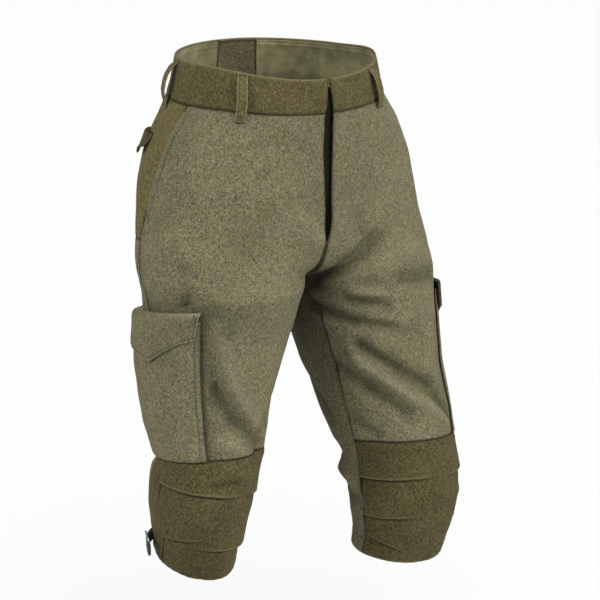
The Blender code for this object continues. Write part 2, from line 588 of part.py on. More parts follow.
for old in list(bpy.data.objects):
    bpy.data.objects.remove(old)
parts = bpy.data.collections.new("knee_breeches")
bpy.context.scene.collection.children.link(parts)
for which in (-1, 1):
    half(which)
fly()
for loop in LOOPS:
    loop_piece(loop)
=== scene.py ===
import json
import math
from collections import namedtuple

import bpy
import numpy as np
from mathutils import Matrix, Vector

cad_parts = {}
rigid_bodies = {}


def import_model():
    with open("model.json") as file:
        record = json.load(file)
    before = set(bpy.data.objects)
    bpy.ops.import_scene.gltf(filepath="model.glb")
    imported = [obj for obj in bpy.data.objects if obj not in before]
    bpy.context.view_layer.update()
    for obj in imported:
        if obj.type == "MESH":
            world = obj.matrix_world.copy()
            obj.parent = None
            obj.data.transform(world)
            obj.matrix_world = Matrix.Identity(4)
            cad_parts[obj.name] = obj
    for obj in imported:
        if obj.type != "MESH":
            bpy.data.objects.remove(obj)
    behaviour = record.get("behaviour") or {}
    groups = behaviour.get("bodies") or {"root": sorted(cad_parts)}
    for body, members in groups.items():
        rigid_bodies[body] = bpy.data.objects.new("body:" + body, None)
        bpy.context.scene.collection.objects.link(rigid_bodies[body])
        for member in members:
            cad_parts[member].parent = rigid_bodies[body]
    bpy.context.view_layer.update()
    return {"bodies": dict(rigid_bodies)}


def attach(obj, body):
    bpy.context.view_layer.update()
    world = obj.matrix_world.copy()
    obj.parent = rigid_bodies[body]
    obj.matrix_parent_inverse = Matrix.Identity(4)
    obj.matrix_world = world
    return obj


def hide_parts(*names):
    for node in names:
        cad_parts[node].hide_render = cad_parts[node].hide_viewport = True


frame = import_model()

BODY = next(iter(frame["bodies"]))

# Cloth and seams
WALL = 0.0020            # wool panel
BAND_WALL = 0.0025       # doubled waistband
FACING_WALL = 0.0015
GAP = 0.0003             # between pieces that meet at a seam
BAND_LIFT = 0.0010       # the band stands over the panels' faces
FLAP_WALL = 0.0020
LOOP_WALL = 0.0016
SHIELD_WALL = 0.0012
BAR = 0.0013             # radius of the buckle's wire

# Where the pieces end, in rows of the table below
BAND_FOOT = 1.0
CROTCH = 7.0
KNEE_TOP = 10.52         # the knee seam in the middle of the shin, and how it sinks beside it
KNEE_DIP = 2.4
HEM = 14.0
SEAT_FOOT = 4.8
# How many rows a row of the back falls towards the inseam, where it meets the front's rows
SEAT_DROP = ((1, 0), (SEAT_FOOT, 1.2), (5.6, 1.1), (6.0, 1.0), (6.7, 0.6), (7.0, 0.45), (7.9, 0))

ROLL = 0.020             # the waist sinks a little to the wearer's right
DROP = 0.15              # and the leg that stands ahead hangs lower, per metre of step
KICK = 0.45              # the right shin slants back more than the left one
SQUARE = 0.95            # under 1 makes the hip rings fuller at the corners
ROUND_DIP = 3.0          # above this row the waist dips to the front in a rounder curve

Section = namedtuple(
    "Section", "side front back tilt merge wide fore aft out fwd leg_w leg_f leg_b step more")
# One row per level, in millimetres apart from tilt and merge. side, front, back: heights.
# merge: 0 one hip ring, 1 two legs. wide, fore, aft: the hip ring. out, fwd, leg_w, leg_f,
# leg_b: one leg's middle and half sizes. step: how far the left leg stands ahead.
# more: how much fuller it is.
SECTIONS = (
    (28, 5, 36, 0, 0, 141, 103, 147, 100, 0, 100, 120, 120, 0, 0),
    (-27, -41, -14, 0, 0, 155, 110, 156, 105, 0, 105, 125, 125, 0, 0),
    (-70, -80, -70, 0, 0, 185, 109, 165, 108, -10, 108, 125, 128, 0, 0),
    (-125, -140, -130, 0, 0, 211, 108, 160, 110, -20, 110, 122, 126, 0, 0),
    (-175, -195, -190, 0, 0.04, 220, 108, 149, 112, -28, 112, 119, 123, 2, 0),
    (-215, -235, -235, 0, 0.18, 227, 109, 142, 114, -26, 113, 115, 119, 2, 0),
    (-250, -262, -262, 0, 0.48, 228, 120, 144, 115, -22, 114, 111, 115, 3, 0),
    (-285, -280, -280, 0, 1, 226, 128, 152, 116, -22, 114, 108, 112, 5, 0),
    (-330, -325, -325, 0, 1, 225, 130, 152, 120, -18, 112, 105, 107, 11, 2),
    (-400, -395, -395, 0, 1, 225, 130, 152, 128, -21, 102, 99, 98, 20, 3),
    (-470, -465, -465, 0.02, 1, 225, 130, 152, 139, -34, 91, 92, 90, 26, 6),
    (-530, -525, -525, 0.05, 1, 225, 130, 152, 147, -48, 81, 83, 80, 30, 7),
    (-594, -589, -589, 0.14, 1, 225, 130, 152, 151, -48, 72, 75, 72, 35, 8),
    (-648, -646, -646, 0.22, 1, 225, 130, 152, 149, -42, 60, 63, 62, 41, 7),
    (-674, -674, -674, 0.23, 1, 225, 130, 152, 144, -35, 58, 59, 59, 46, 6),
)

# Round each half t runs 0 at the front seam, 1/2 at the outer side, 1 at the back
# seam, and 0 and 1 are the inseam below the crotch. v counts the rows above.
SIDE_SEAM = ((1, 0.515), (2, 0.512), (3.2, 0.511), (3.9, 0.530), (4.6, 0.546), (5.5, 0.562),
             (6.5, 0.552), (7.5, 0.525), (8.5, 0.520), (10.0, 0.545), (11.2, 0.585), (12.0, 0.596),
             (13.8, 0.600), (14, 0.600))
INSEAM = ((7, 0), (7.6, 0.044), (8.2, 0.062), (9.1, 0.061), (10.6, 0.036), (12.1, 0.012), (14, 0))
FLY_RIGHT = ((0, 0.0010), (0.5, 0.0040), (1.2, 0.0100), (2.3, 0.0095),
             (3.3, 0.0070), (4.2, 0.0030), (4.6, -0.0002), (14, -0.0002))
FLY_LEFT = ((0, 0.0006), (1.0, 0.0012), (4.2, 0.0012), (4.6, -0.0002), (14, -0.0002))
OVERLAP = 0.0002         # of the pieces at a closed seam

Fold = namedtuple("Fold", "side t0 v0 t1 v1 width depth")
# side -1 right, 1 left, 0 both; width and depth in millimetres, a ridge has depth > 0
FOLDS = [Fold(*row) for row in (
    # right front, hip to knee
    (-1, 0.395, 5.80, 0.420, 6.80, 13, -3),
    (-1, 0.415, 6.70, 0.425, 7.12, 9, -4.8),
    (-1, 0.160, 4.00, 0.210, 4.80, 22, -2),
    (-1, 0.090, 3.80, 0.030, 4.50, 13, 2.2),
    (-1, 0.352, 7.95, 0.300, 9.05, 11, 4.5),
    (-1, 0.300, 9.05, 0.220, 9.95, 11, 4.8),
    (-1, 0.335, 9.10, 0.285, 9.75, 11, -6),
    (-1, 0.285, 9.75, 0.172, 10.4, 12, -6.2),
    (-1, 0.310, 10.2, 0.255, 10.3, 12, 3.4),
    (-1, 0.100, 9.30, 0.170, 10.1, 14, -3),
    (-1, 0.330, 11.2, 0.265, 11.1, 8, -3.4),
    (-1, 0.270, 10.9, 0.190, 11.0, 10, 2.8),
    (-1, 0.600, 11.2, 0.605, 13.2, 24, 5.8),
    # left front, hip to knee
    (1, 0.065, 3.80, 0.075, 4.50, 9, -2.2),
    (1, 0.120, 4.95, 0.070, 5.70, 13, -6.8),
    (1, 0.070, 5.70, 0.045, 7.00, 15, -6),
    (1, 0.150, 5.90, 0.230, 5.50, 15, 3.5),
    (1, 0.160, 6.85, 0.240, 6.72, 12, -4),
    (1, 0.240, 6.72, 0.360, 6.95, 13, -7),
    (1, 0.130, 7.26, 0.185, 7.32, 8, 4.2),
    (1, 0.125, 7.55, 0.200, 7.72, 8, -4.2),
    (1, 0.040, 7.80, 0.128, 8.12, 9, -5.5),
    (1, 0.128, 8.12, 0.205, 8.26, 9, -5),
    (1, 0.220, 8.38, 0.262, 8.33, 8, -2.8),
    (1, 0.130, 8.62, 0.200, 9.07, 10, -6),
    (1, 0.200, 9.07, 0.270, 9.45, 11, -7.2),
    (1, 0.270, 9.45, 0.330, 10.2, 11, -6.4),
    (1, 0.115, 8.86, 0.200, 9.54, 11, 5.6),
    (1, 0.200, 9.54, 0.310, 10.2, 12, 5.2),
    (1, 0.068, 9.05, 0.120, 9.38, 10, -4),
    (1, 0.120, 9.38, 0.190, 9.92, 12, -5.2),
    (1, 0.060, 10.1, 0.100, 10.4, 9, -2.6),
    (1, 0.250, 11.7, 0.340, 11.8, 11, 2.2),
    (1, 0.170, 12.6, 0.260, 12.3, 9, 2.2),
    # seat and the backs of the legs
    (0, 0.970, 6.60, 0.720, 5.60, 16, -6),
    (-1, 0.960, 7.60, 0.760, 7.00, 15, -5),
    (1, 0.950, 7.90, 0.700, 6.90, 16, -5.5),
    (0, 0.980, 5.60, 0.800, 4.40, 17, 4),
    (-1, 0.720, 10.9, 0.940, 11.1, 11, -5.5),
    (1, 0.740, 11.2, 0.930, 11.1, 11, -5.5),
    (0, 0.780, 11.7, 0.920, 12.0, 10, -4.5),
    (-1, 0.800, 9.20, 0.950, 10.0, 14, -4),
    (1, 0.860, 9.00, 0.970, 10.1, 14, -4.5),
    (1, 0.930, 11.5, 0.985, 11.6, 11, 5),
    (1, 0.900, 12.2, 0.990, 12.1, 10, -6),
)]
FOLD_GAIN = 1.6          # soft folds of thick cloth, as deep as they look
TUCK_GAIN = 0.65         # the cloth above and the cloth below share the step

Tuck = namedtuple("Tuck", "side t0 t1 v0 v1 depth")
TUCK_ABOVE = 0.016       # how far above and below its line a tuck moves the cloth
TUCK_BELOW = 0.012
TUCK_EDGE = 0.0010       # half the height of its step
TUCK_START = -0.05       # and how far it goes on past t0
# A knee dart: the cloth above laps over the cloth below, most at t0
TUCKS = (
    Tuck(-1, 0.52, 0.20, 11.26, 11.38, 0.0062),
    Tuck(-1, 0.03, 0.22, 11.60, 11.38, 0.0056),
    Tuck(1, 0.52, 0.26, 11.48, 11.38, 0.0064),
    Tuck(1, 0.01, 0.26, 11.52, 11.34, 0.0050),
    Tuck(-1, 0.52, 0.34, 12.62, 12.26, 0.0026),
    Tuck(-1, 0.05, 0.42, 12.60, 12.52, 0.0066),
    Tuck(1, 0.52, 0.30, 12.50, 12.46, 0.0036),
    Tuck(1, 0.01, 0.20, 12.44, 12.24, 0.0034),
    Tuck(1, 0.03, 0.20, 13.00, 13.46, 0.0034),
)

LEG_ROW = 0.055          # height of one row below the knee seam
FACING_TOP, FACING_FOOT = 0.05, 1.25
FACING_START = 0.11      # t where the facing shows behind the front opening
INSET_START = 0.87       # t where the left facing ends and the inset begins

# Cargo pocket: its edges as t, and how full it is across its width and down it
POCKET_FRONT = 0.369
POCKET_BACK = 0.625
POCKET_SLANT = 0.034     # its foot reaches so much further to the front, as t
POCKET_LEAN = 0.085      # and its top and foot fall so much for each metre to the back
POCKET_PUFF = 0.0085
POCKET_SINK = 0.0070     # its weight draws the leg in under it
# share of the width, share of the puff
POCKET_ACROSS = ((0, 0), (0.03, 0.25), (0.08, 0.60), (0.16, 0.93), (0.25, 1), (0.37, 1), (0.5, 1),
                 (0.63, 1), (0.75, 1), (0.84, 0.93), (0.92, 0.60), (0.97, 0.25), (1, 0))
# v, share of the puff
POCKET_DOWN = ((7.6, 1), (8.0, 1), (8.5, 1), (9.0, 1), (9.4, 0.96), (9.75, 0.80), (10.0, 0.52),
               (10.3, 0.34), (10.48, 0.20), (10.58, 0))
POCKET_TOP, POCKET_FOOT = POCKET_DOWN[0][0], POCKET_DOWN[-1][0]
POCKET_EDGE = 0.0008     # the bag's edge over the leg's face

Flap = namedtuple("Flap", "t0 t1 top foot sewn full ends corner")
# foot: (share of the width, v). sewn, full: height over the leg at its sewn edge and below.
# ends: share of the rise at both ends. corner: how far the lower corner at t1 stands off.
CARGO_FLAP = Flap(0.388, 0.629, 7.28, ((0, 8.06), (0.12, 8.11), (0.42, 8.50), (1, 8.20)),
                  0.0029, 0.0148, 0.6, 0.001)
HIP_FLAP = Flap(0.730, 0.610, 1.98, ((0, 2.36), (0.5, 2.58), (1, 2.36)),
                0.0023, 0.0070, 0.1, 0.007)
FLAP_END = 0.1           # share of the width over which a flap bends down to its ends
FLAP_BEND = 0.26         # share of the depth over which it bends out from its sewn edge

Loop = namedtuple("Loop", "name side middle lean bow")
# lean: how much further its top lies, as t. bow: how far it stands off, against the table
LOOPS = (Loop("right_front", -1, 0.285, 0.012, 1.0), Loop("right_back", -1, 0.635, 0, 1.8),
         Loop("left_front", 1, 0.209, -0.004, 1.2), Loop("left_back", 1, 0.635, 0, 1.3),
         Loop("centre_back", 1, 1.0, 0, 1.0))
LOOP_WIDE = 0.016
LOOP_FLAT = 0.0036       # a loop's bow begins at this height
# v, height over the band's cloth
LOOP_RISE = ((0.02, 0.0030), (0.10, 0.0032), (0.22, 0.0060), (0.45, 0.0090), (0.70, 0.0096),
             (0.95, 0.0082), (1.12, 0.0052), (1.22, 0.0030), (1.30, 0.0029))

STRAP_V = 13.06
STRAP_WIDE = 0.030
# t, height over the leg
STRAP_RISE = ((0.735, 0.0023), (0.708, 0.0024), (0.680, 0.0026), (0.650, 0.0030), (0.625, 0.0042),
              (0.605, 0.0068), (0.590, 0.0102), (0.575, 0.0144), (0.560, 0.0186), (0.545, 0.0224),
              (0.530, 0.0256))
STRAP_NEAR = 0.82        # share of these heights, because its own pull draws it in
DOUBLED = 0.0034         # webbing turned back through the buckle
BUCKLE_BACK = 0.595      # t of the buckle's ends, over and under the webbing
BUCKLE_FRONT = 0.545
BUCKLE_RISE = ((BUCKLE_FRONT, 0.0190), (BUCKLE_BACK, 0.0109))
BUCKLE_ROOM = 0.0042     # wire's middle beyond the webbing's edge

SHIELD_RIGHT = -0.024    # the fly shield's edges, from the middle of the front
SHIELD_LEFT = 0.026
# v, depth behind the front's face
SHIELD_LOW = ((0.30, -0.0032), (0.8, -0.0039), (1.3, -0.0045), (1.9, -0.0048), (2.6, -0.0050),
              (3.3, -0.0052), (3.9, -0.0052), (4.4, -0.0052))


def smooth(x):
    x = np.clip(x, 0.0, 1.0)
    return x * x * (3 - 2 * x)


def hump(x, middle, wide):
    """1 at the middle, falling to 0 on both sides."""
    return np.exp(-((x - middle) / wide) ** 2)


def table(rows, v):
    """Value at v in a table of (v, value) rows."""
    return np.interp(v, [r[0] for r in rows], [r[1] for r in rows])


# Spline through the sections: every value at v
FIELDS = np.array(SECTIONS) * ([0.001] * 3 + [1, 1] + [0.001] * 10)
LAST = len(SECTIONS) - 1


def section_at(v):
    v = np.asarray(v, float)
    i = np.clip(v.astype(int), 0, LAST - 1)
    f = (v - i)[..., None]
    p1, p2 = FIELDS[i], FIELDS[i + 1]
    p0 = np.where((i > 0)[..., None], FIELDS[np.maximum(i - 1, 0)], 2 * p1 - p2)
    p3 = np.where((i + 2 <= LAST)[..., None], FIELDS[np.minimum(i + 2, LAST)], 2 * p2 - p1)
    mix = 0.5 * (2 * p1 + (p2 - p0) * f + (2 * p0 - 5 * p1 + 4 * p2 - p3) * f ** 2
                 + (3 * p1 - p0 - 3 * p2 + p3) * f ** 3)
    return Section(*np.moveaxis(mix, -1, 0))


def bare(side, t, v):
    """The garment's form without folds. Past 0 and 1, t goes on round the other half
    of the hips, or round the same leg."""
    side, t, v = np.broadcast_arrays(np.asarray(side, float), np.asarray(t, float), v)
    over, leg = (t < 0) | (t > 1), v >= CROTCH
    side = np.where(over & ~leg, -side, side)
    t = np.where(leg, np.where(over, t % 1, t), np.where(t < 0, -t, np.where(t > 1, 2 - t, t)))
    s = section_at(v)
    a, b = math.pi * t, 2 * math.pi * t
    front = t < 0.5
    hip_x = s.wide * np.abs(np.sin(a)) ** SQUARE
    hip_y = -np.where(front, s.fore, s.aft) * np.sign(np.cos(a)) * np.abs(np.cos(a)) ** SQUARE
    more = side * s.more
    leg_x = s.out - (s.leg_w + more) * np.cos(b)
    leg_y = s.fwd - (np.where(front, s.leg_f, s.leg_b) + more) * np.sin(b)
    m = np.clip(s.merge, 0, 1)
    x, y = (1 - m) * hip_x + m * leg_x, (1 - m) * hip_y + m * leg_y
    end = np.where(front, s.front, s.back)
    dip, round_dip = (1 - 2 * t) ** 2, np.cos(a) ** 2
    dip = dip + (round_dip - dip) * smooth((ROUND_DIP - v) / 2)
    z = s.side + (end - s.side) * dip
    z = (z + ROLL * side * x * (1 - smooth(-z / 0.28)) - DROP * side * s.step
         + s.tilt * (1 - KICK * side) * (y - s.fwd) * m)
    return np.stack([side * x, y - side * s.step, z], -1)


def outward(side, t, v):
    """Unit normal of the bare form."""
    dt, dv = 0.006, 0.06
    side, t, v = np.broadcast_arrays(np.asarray(side, float), np.asarray(t, float), v)
    # near the middle of the body a half keeps its own slope
    near = np.where(v < CROTCH, 0.0, -1.0)
    across = (bare(side, np.clip(t + dt, near, 1 - near), v)
              - bare(side, np.clip(t - dt, near, 1 - near), v))
    down = bare(side, t, np.clip(v + dv, 0, HEM)) - bare(side, t, np.clip(v - dv, 0, HEM))
    n = np.cross(down, across) * np.asarray(side, float)[..., None]
    return n / np.linalg.norm(n, axis=-1, keepdims=True)


RINGS = [np.linalg.norm(np.diff(bare(1, np.linspace(0, 1, 61), i), axis=0), axis=1).sum()
         for i in range(LAST + 1)]


def girth(v):
    """Length of half the hip ring, or of one leg's ring."""
    return np.interp(v, range(LAST + 1), RINGS)


def height(v):
    return np.interp(v, range(LAST + 1), FIELDS[:, 0])


def row_at(z):
    return np.interp(-z, -FIELDS[:, 0], range(LAST + 1))


def even_rows(top, foot, down):
    """v at a share of the height between two rows."""
    return row_at(height(top) + (height(foot) - height(top)) * down)


def pocket_front(v):
    """t of the cargo pocket's front edge, which slants forward on its way down."""
    down = np.clip((v - POCKET_TOP) / (POCKET_FOOT - POCKET_TOP), 0, 1)
    return POCKET_FRONT + POCKET_SLANT * (1 / 3 - down)


def leaned(t, v):
    """The row where row v of the cargo pocket lies: it falls towards the back."""
    return row_at(height(v) - POCKET_LEAN * (t - pocket_front(v)) * girth(v))


def tuck_gap(tuck, t, v):
    """The share of the way along a tuck, and the length below its line."""
    k = (t - tuck.t0) / (tuck.t1 - tuck.t0)
    return k, (v - tuck.v0 - (tuck.v1 - tuck.v0) * np.clip(k, 0, 1)) * LEG_ROW


def fold(side, t, v):
    """How far the folds and tucks move the cloth outward."""
    side, t, v = np.broadcast_arrays(np.asarray(side, float), t, v)
    ridge, valley = np.zeros(t.shape), np.zeros(t.shape)
    z, leg = height(v), smooth((v - CROTCH + 0.6) / 0.5)
    # on a leg a fold goes on past the inseam
    for turn, share in ((0, 1), (-1, leg), (1, leg)):
        x = (t + turn) * girth(v)
        for f in FOLDS:
            ax, az = f.t0 * girth(v), height(f.v0)
            bx, bz = f.t1 * girth(v), height(f.v1)
            k = np.clip(((x - ax) * (bx - ax) + (z - az) * (bz - az))
                        / ((bx - ax) ** 2 + (bz - az) ** 2), 0, 1)
            d2 = (x - ax - k * (bx - ax)) ** 2 + (z - az - k * (bz - az)) ** 2
            on = share * ((side == f.side) | (f.side == 0))
            wide, deep = f.width / 1000, f.depth / 1000
            high = FOLD_GAIN * on * deep * np.exp(-d2 / wide ** 2)
            ridge, valley = ridge + np.maximum(high, 0) ** 4, valley + np.minimum(high, 0) ** 4
    # where two folds join, neither adds to the other
    out = ridge ** 0.25 - valley ** 0.25
    # the doubled cloth of the cargo pocket holds its place flat
    top, foot = leaned(t, CARGO_FLAP.top), leaned(t, POCKET_FOOT)
    before, behind = t - pocket_front(v), POCKET_BACK - t
    held = (smooth(before / 0.03 + 1) * smooth(behind / 0.04 + 1.4)
            * smooth((v - top) / 0.2 + 1.2) * smooth((foot - v) / 0.15 + 1.3))
    sunk = (smooth(before / 0.10 + 0.8) * smooth(behind / 0.10 + 0.8)
            * smooth((v - top) / 1.4 + 0.8) * smooth((foot - v) / 1.3 + 0.9))
    out = out * (1 - held) - POCKET_SINK * sunk
    for f in TUCKS:
        k, gap = tuck_gap(f, t, v)
        near = (1 - smooth(k)) * (k > TUCK_START)
        lap = np.where(gap < 0, np.exp(gap / TUCK_ABOVE), -np.exp(-gap / TUCK_BELOW))
        lap = np.where(np.abs(gap) < TUCK_EDGE, -gap / TUCK_EDGE, lap)
        out += TUCK_GAIN * (side == f.side) * f.depth * near * lap
    return out


def point(side, t, v, lift=0.0):
    """A point of the cloth, raised by lift."""
    side, t, v, lift = np.broadcast_arrays(np.asarray(side, float), t, v, lift)
    # at the hips, t under 0 or over 1 is a place on the other half
    over = ((t < 0) | (t > 1)) & (v < CROTCH)
    t = np.where(over & (t < 0), -t, np.where(over, 2 - t, t))
    side = np.where(over, -side, side)
    n = outward(side, t, v)
    return bare(side, t, v) + n * (fold(side, t, v) + lift)[..., None]


def front_edge(side, v):
    return table(FLY_RIGHT if side < 0 else FLY_LEFT, v) / girth(v) + curve(INSEAM, v)


def side_edge(v, way):
    gap = np.where(v > KNEE_TOP, -OVERLAP, GAP / 2)
    return table(SIDE_SEAM, v) + way * gap / girth(v)


def back_edge(v):
    return 1 + OVERLAP / girth(v) + curve(INSEAM, v)


def knee_line(t, v):
    """Bends the knee seam, and the rows near it, down towards the sides."""
    return v + KNEE_DIP * (t - 0.25) ** 2 * smooth(1 - np.abs(v - KNEE_TOP) / 0.6)


def dropped(t, v):
    """Lets the seat's lower seam fall towards the middle of the back."""
    return v + table(SEAT_DROP, v) * smooth((t - 0.6) / 0.38)


def bent_edge(edge, bend, v):
    """t of an edge at rows that bend on their way across."""
    t = edge(v)
    for _ in range(4):
        t = edge(bend(t, v))
    return t


# Cloth as it is cut and sewn

STEP = 0.0032            # between the lines of a piece's grid
FINE_LINES = (0, 0.0011, 0.0019, 0.0029, 0.0042)     # and beside its edges
ROLL_REACH = 0.0036      # how far from an edge the cloth begins to roll under
STITCH_DIP = 0.0006      # a row of stitches draws the cloth in
STITCH_WIDE = 0.0013
STITCH_PITCH = 0.0036
STITCH_LONG = 0.0029
STITCH_THICK = 0.00062
PUCKER = 0.00022         # small waves along a stitched seam
PUCKER_LONG = 0.0115
PUCKER_WIDE = 0.009
PUCKER_DRIFT = 2.2       # how far their length wanders, as an angle, and over what length
DRIFT_LONG = 0.031
CUT_ROUND = 0.3          # share of the wall that the rounding of a cut edge takes
CUT_ANGLE = math.radians(55)
STITCH_LINES = (-0.0013, -0.0005, 0.0005, 0.0013)    # grid lines beside a row of stitches
LEAST_LINE = 0.0003      # grid lines closer than this are left out
PALE_EDGE_WIDE = 0.0022       # how far in from a free edge the nap is paler, from wear and painted highlight
SEAM_WIDE = 0.0017       # and from a seam it lies pressed and dark
STITCH_MARK = 0.40       # how dark the thread's shadow is, and how wide
MARK_WIDE = 0.0009
RIDGE = 0.009            # a fold this high gets the full painted highlight, and one this deep the full painted shade
RIDGE_HIGHLIGHT = 0.40
VALLEY_SHADE = 0.45

Edge = namedtuple("Edge", "roll stitches wear seam", defaults=(0, 0))
# roll: how far the edge turns under. stitches: distances of the rows from the edge.
# wear and highlight: 1 where the edge is free and paler, from worn nap and painted highlight on
# its rolled edge. seam: 1 where it is sewn
SEAM = Edge(0.0009, (), 0, 0.8)
STITCHED = Edge(0.0009, (0.0022,), 0, 0.8)
DOUBLE = Edge(0.0009, (0.0022, 0.0085), 0, 0.8)
FREE = Edge(0.0005, (0.0028,), 1)
RUBBED = Edge(0.0008, (0.0028,), 0.55)
BARE = Edge(0.0004, (), 1)
# the band's rim is paler still: worn nap and painted highlight on its rounded edge
RIM = Edge(0.0012, (), 1.6)

Wave = namedtuple("Wave", "long turn shift high")
# Slight unevenness of thick cloth: length, direction in radians, shift, height
WAVES = (
    Wave(0.094, 0.40, 0.3, 0.00034), Wave(0.071, 1.90, 1.7, 0.00030),
    Wave(0.052, 2.70, 4.1, 0.00024), Wave(0.043, 1.10, 2.9, 0.00020),
    Wave(0.033, 0.10, 5.3, 0.00014), Wave(0.027, 2.20, 0.9, 0.00011),
)


def curve(rows, x):
    """Smooth value at x through a table of (x, value) rows."""
    rows = sorted(rows)
    px, py = np.array(rows, float).T
    slope = np.gradient(py, px)
    x = np.clip(x, px[0], px[-1])
    i = np.clip(np.searchsorted(px, x, side="right") - 1, 0, len(px) - 2)
    span = px[i + 1] - px[i]
    k = (x - px[i]) / span
    return ((2 * k ** 3 - 3 * k ** 2 + 1) * py[i] + (k ** 3 - 2 * k ** 2 + k) * span * slope[i]
            + (3 * k ** 2 - 2 * k ** 3) * py[i + 1] + (k ** 3 - k ** 2) * span * slope[i + 1])


def rounded(distance, reach):
    """A quarter circle's rise from 0 at an edge to 1 at reach."""
    return np.sqrt(1 - (1 - np.clip(distance / reach, 0, 1)) ** 2)


def uneven(side, t, v):
    x, z = t * girth(v), height(v)
    out = 0.0
    for wave in WAVES:
        run = x * math.cos(wave.turn) + z * math.sin(wave.turn)
        out = out + wave.high * np.sin(2 * math.pi * run / wave.long + wave.shift + side)
    return out


def level(t, v):
    return v


def panel_place(top, foot, left, right, bend=level):
    """Places of a panel whose edges left(v) and right(v) give t."""
    def place(across, down):
        v = even_rows(top, foot, down)
        t = bent_edge(left, bend, v) * (1 - across) + bent_edge(right, bend, v) * across
        return t, bend(t, v)
    return place


# A place on a piece, and its distances from the piece's edges
Spot = namedtuple("Spot", "t v left right top foot")


class Piece:
    """One cut piece of cloth. across and down run from 0 to 1 over it."""

    def __init__(self, name, side, place, lift, wall, edges, calm=1.0, marks=None):
        self.name, self.side, self.place, self.lift, self.wall = name, side, place, lift, wall
        self.edges = dict(zip(("left", "right", "top", "foot"), edges))
        self.calm, self.marks = calm, marks
        share = np.linspace(0, 1, 41)
        across, down = np.meshgrid(share, share)
        flat = point(side, *place(across, down), 0.0)
        wide = np.linalg.norm(np.diff(flat, axis=1), axis=2)
        tall = np.linalg.norm(np.diff(flat, axis=0), axis=2)
        self.share, self.wides, self.talls = share, wide.sum(1), tall.sum(0)
        self.area = float(((wide[1:] + wide[:-1]) / 2 * (tall[:, 1:] + tall[:, :-1]) / 2).sum())

    def distances(self, across, down):
        """Distances from the left, right, top and foot edges."""
        wide = np.interp(down, self.share, self.wides)
        tall = np.interp(across, self.share, self.talls)
        return across * wide, (1 - across) * wide, down * tall, (1 - down) * tall

    def rise(self, across, down):
        """How far the outer face stands over the garment's form."""
        t, v = self.place(across, down)
        near = self.distances(across, down)
        out = self.lift(Spot(t, v, *near))
        out = out + self.calm * uneven(self.side, t, v)
        along = (near[2], near[2], near[0], near[0])
        for edge, distance, run in zip(self.edges.values(), near, along):
            out = out - edge.roll * (1 - rounded(distance, ROLL_REACH))
            for at in edge.stitches:
                out = out - STITCH_DIP * hump(distance, at, STITCH_WIDE)
            if edge.stitches:
                turn = 2 * math.pi * run / PUCKER_LONG + PUCKER_DRIFT * np.sin(run / DRIFT_LONG)
                out = out + PUCKER * np.sin(turn) * hump(distance, 0, PUCKER_WIDE)
        return out

    def surface(self, across, down, over=0.0):
        t, v = self.place(across, down)
        return point(self.side, t, v, self.rise(across, down) + over)

    def make(self, finish, step=STEP, tall_step=None):
        """The cloth as an object: a grid shaped to the surface, with its wall."""
        wide, tall = self.wides.max(), self.talls.max()
        left, right, top, foot = self.edges.values()
        across, down = np.meshgrid(grid_lines(wide, step, left, right),
                                   grid_lines(tall, tall_step or step, top, foot))
        spots = self.surface(across, down)
        rows, cols = across.shape
        bpy.ops.object.select_all(action="DESELECT")
        bpy.ops.mesh.primitive_grid_add(x_subdivisions=cols - 1, y_subdivisions=rows - 1, size=1)
        made = named(self.name)
        mesh = made.data
        start = np.array([vertex.co for vertex in mesh.vertices])
        col = np.rint((start[:, 0] + 0.5) * (cols - 1)).astype(int)
        row = np.rint((start[:, 1] + 0.5) * (rows - 1)).astype(int)
        mesh.vertices.foreach_set("co", spots[row, col].ravel())
        t, v = self.place(across, down)
        flat = np.stack([t * girth(v), height(v)], -1)[row, col]
        corners = np.zeros(len(mesh.loops), int)
        mesh.loops.foreach_get("vertex_index", corners)
        mesh.uv_layers.active.data.foreach_set("uv", flat[corners].ravel())
        for title, share in zip(("wear", "crease"), self.wear_and_painted_light(across, down)):
            wear_and_painted_light = mesh.attributes.new(title, "FLOAT", "POINT")
            wear_and_painted_light.data.foreach_set("value", np.clip(share, 0, 1)[row, col].ravel())
        mesh.update()
        face = mesh.polygons[len(mesh.polygons) // 2]
        at = row[face.vertices[0]], col[face.vertices[0]]
        if face.normal.dot(Vector(outward(self.side, t[at], v[at]))) < 0:
            mesh.flip_normals()
        give_wall(made, self.wall)
        dress(made, finish)
        return made

    def wear_and_painted_light(self, across, down):
        """Where the nap is paler, from worn edges and painted highlight, and where it is darker,
        from pressed seams, stitches and painted shade.
        """
        near = self.distances(across, down)
        pale, pressed = 0 * across, 0 * across
        for edge, distance in zip(self.edges.values(), near):
            pale = pale + edge.wear * hump(distance, 0, PALE_EDGE_WIDE)
            pressed = pressed + edge.seam * hump(distance, 0, SEAM_WIDE)
            for at in edge.stitches:
                pressed = pressed + STITCH_MARK * hump(distance, at, MARK_WIDE)
        t, v = self.place(across, down)
        if self.marks:
            # a piece with marks of its own also gets painted highlight on its fold ridges and
            # painted shade in its fold valleys above the knee seam
            out = fold(self.side, t, v) / RIDGE
            more = self.marks(Spot(t, v, *near))
            pale = pale + RIDGE_HIGHLIGHT * np.clip(out, 0, 1) + more[0]
            pressed = pressed + VALLEY_SHADE * np.clip(-out, 0, 1) * (v < KNEE_TOP) + more[1]
        return pale, pressed

    def rows_of_stitches(self):
        """The lines that the machine sewed along this piece's edges."""
        run = np.linspace(0, 1, 160)
        for which, edge in self.edges.items():
            for at in edge.stitches:
                level_run = which in ("top", "foot")
                share = at / np.interp(run, self.share, self.talls if level_run else self.wides)
                share = share if which in ("left", "top") else 1 - share
                across, down = (run, share) if level_run else (share, run)
                sew(self, across, down)


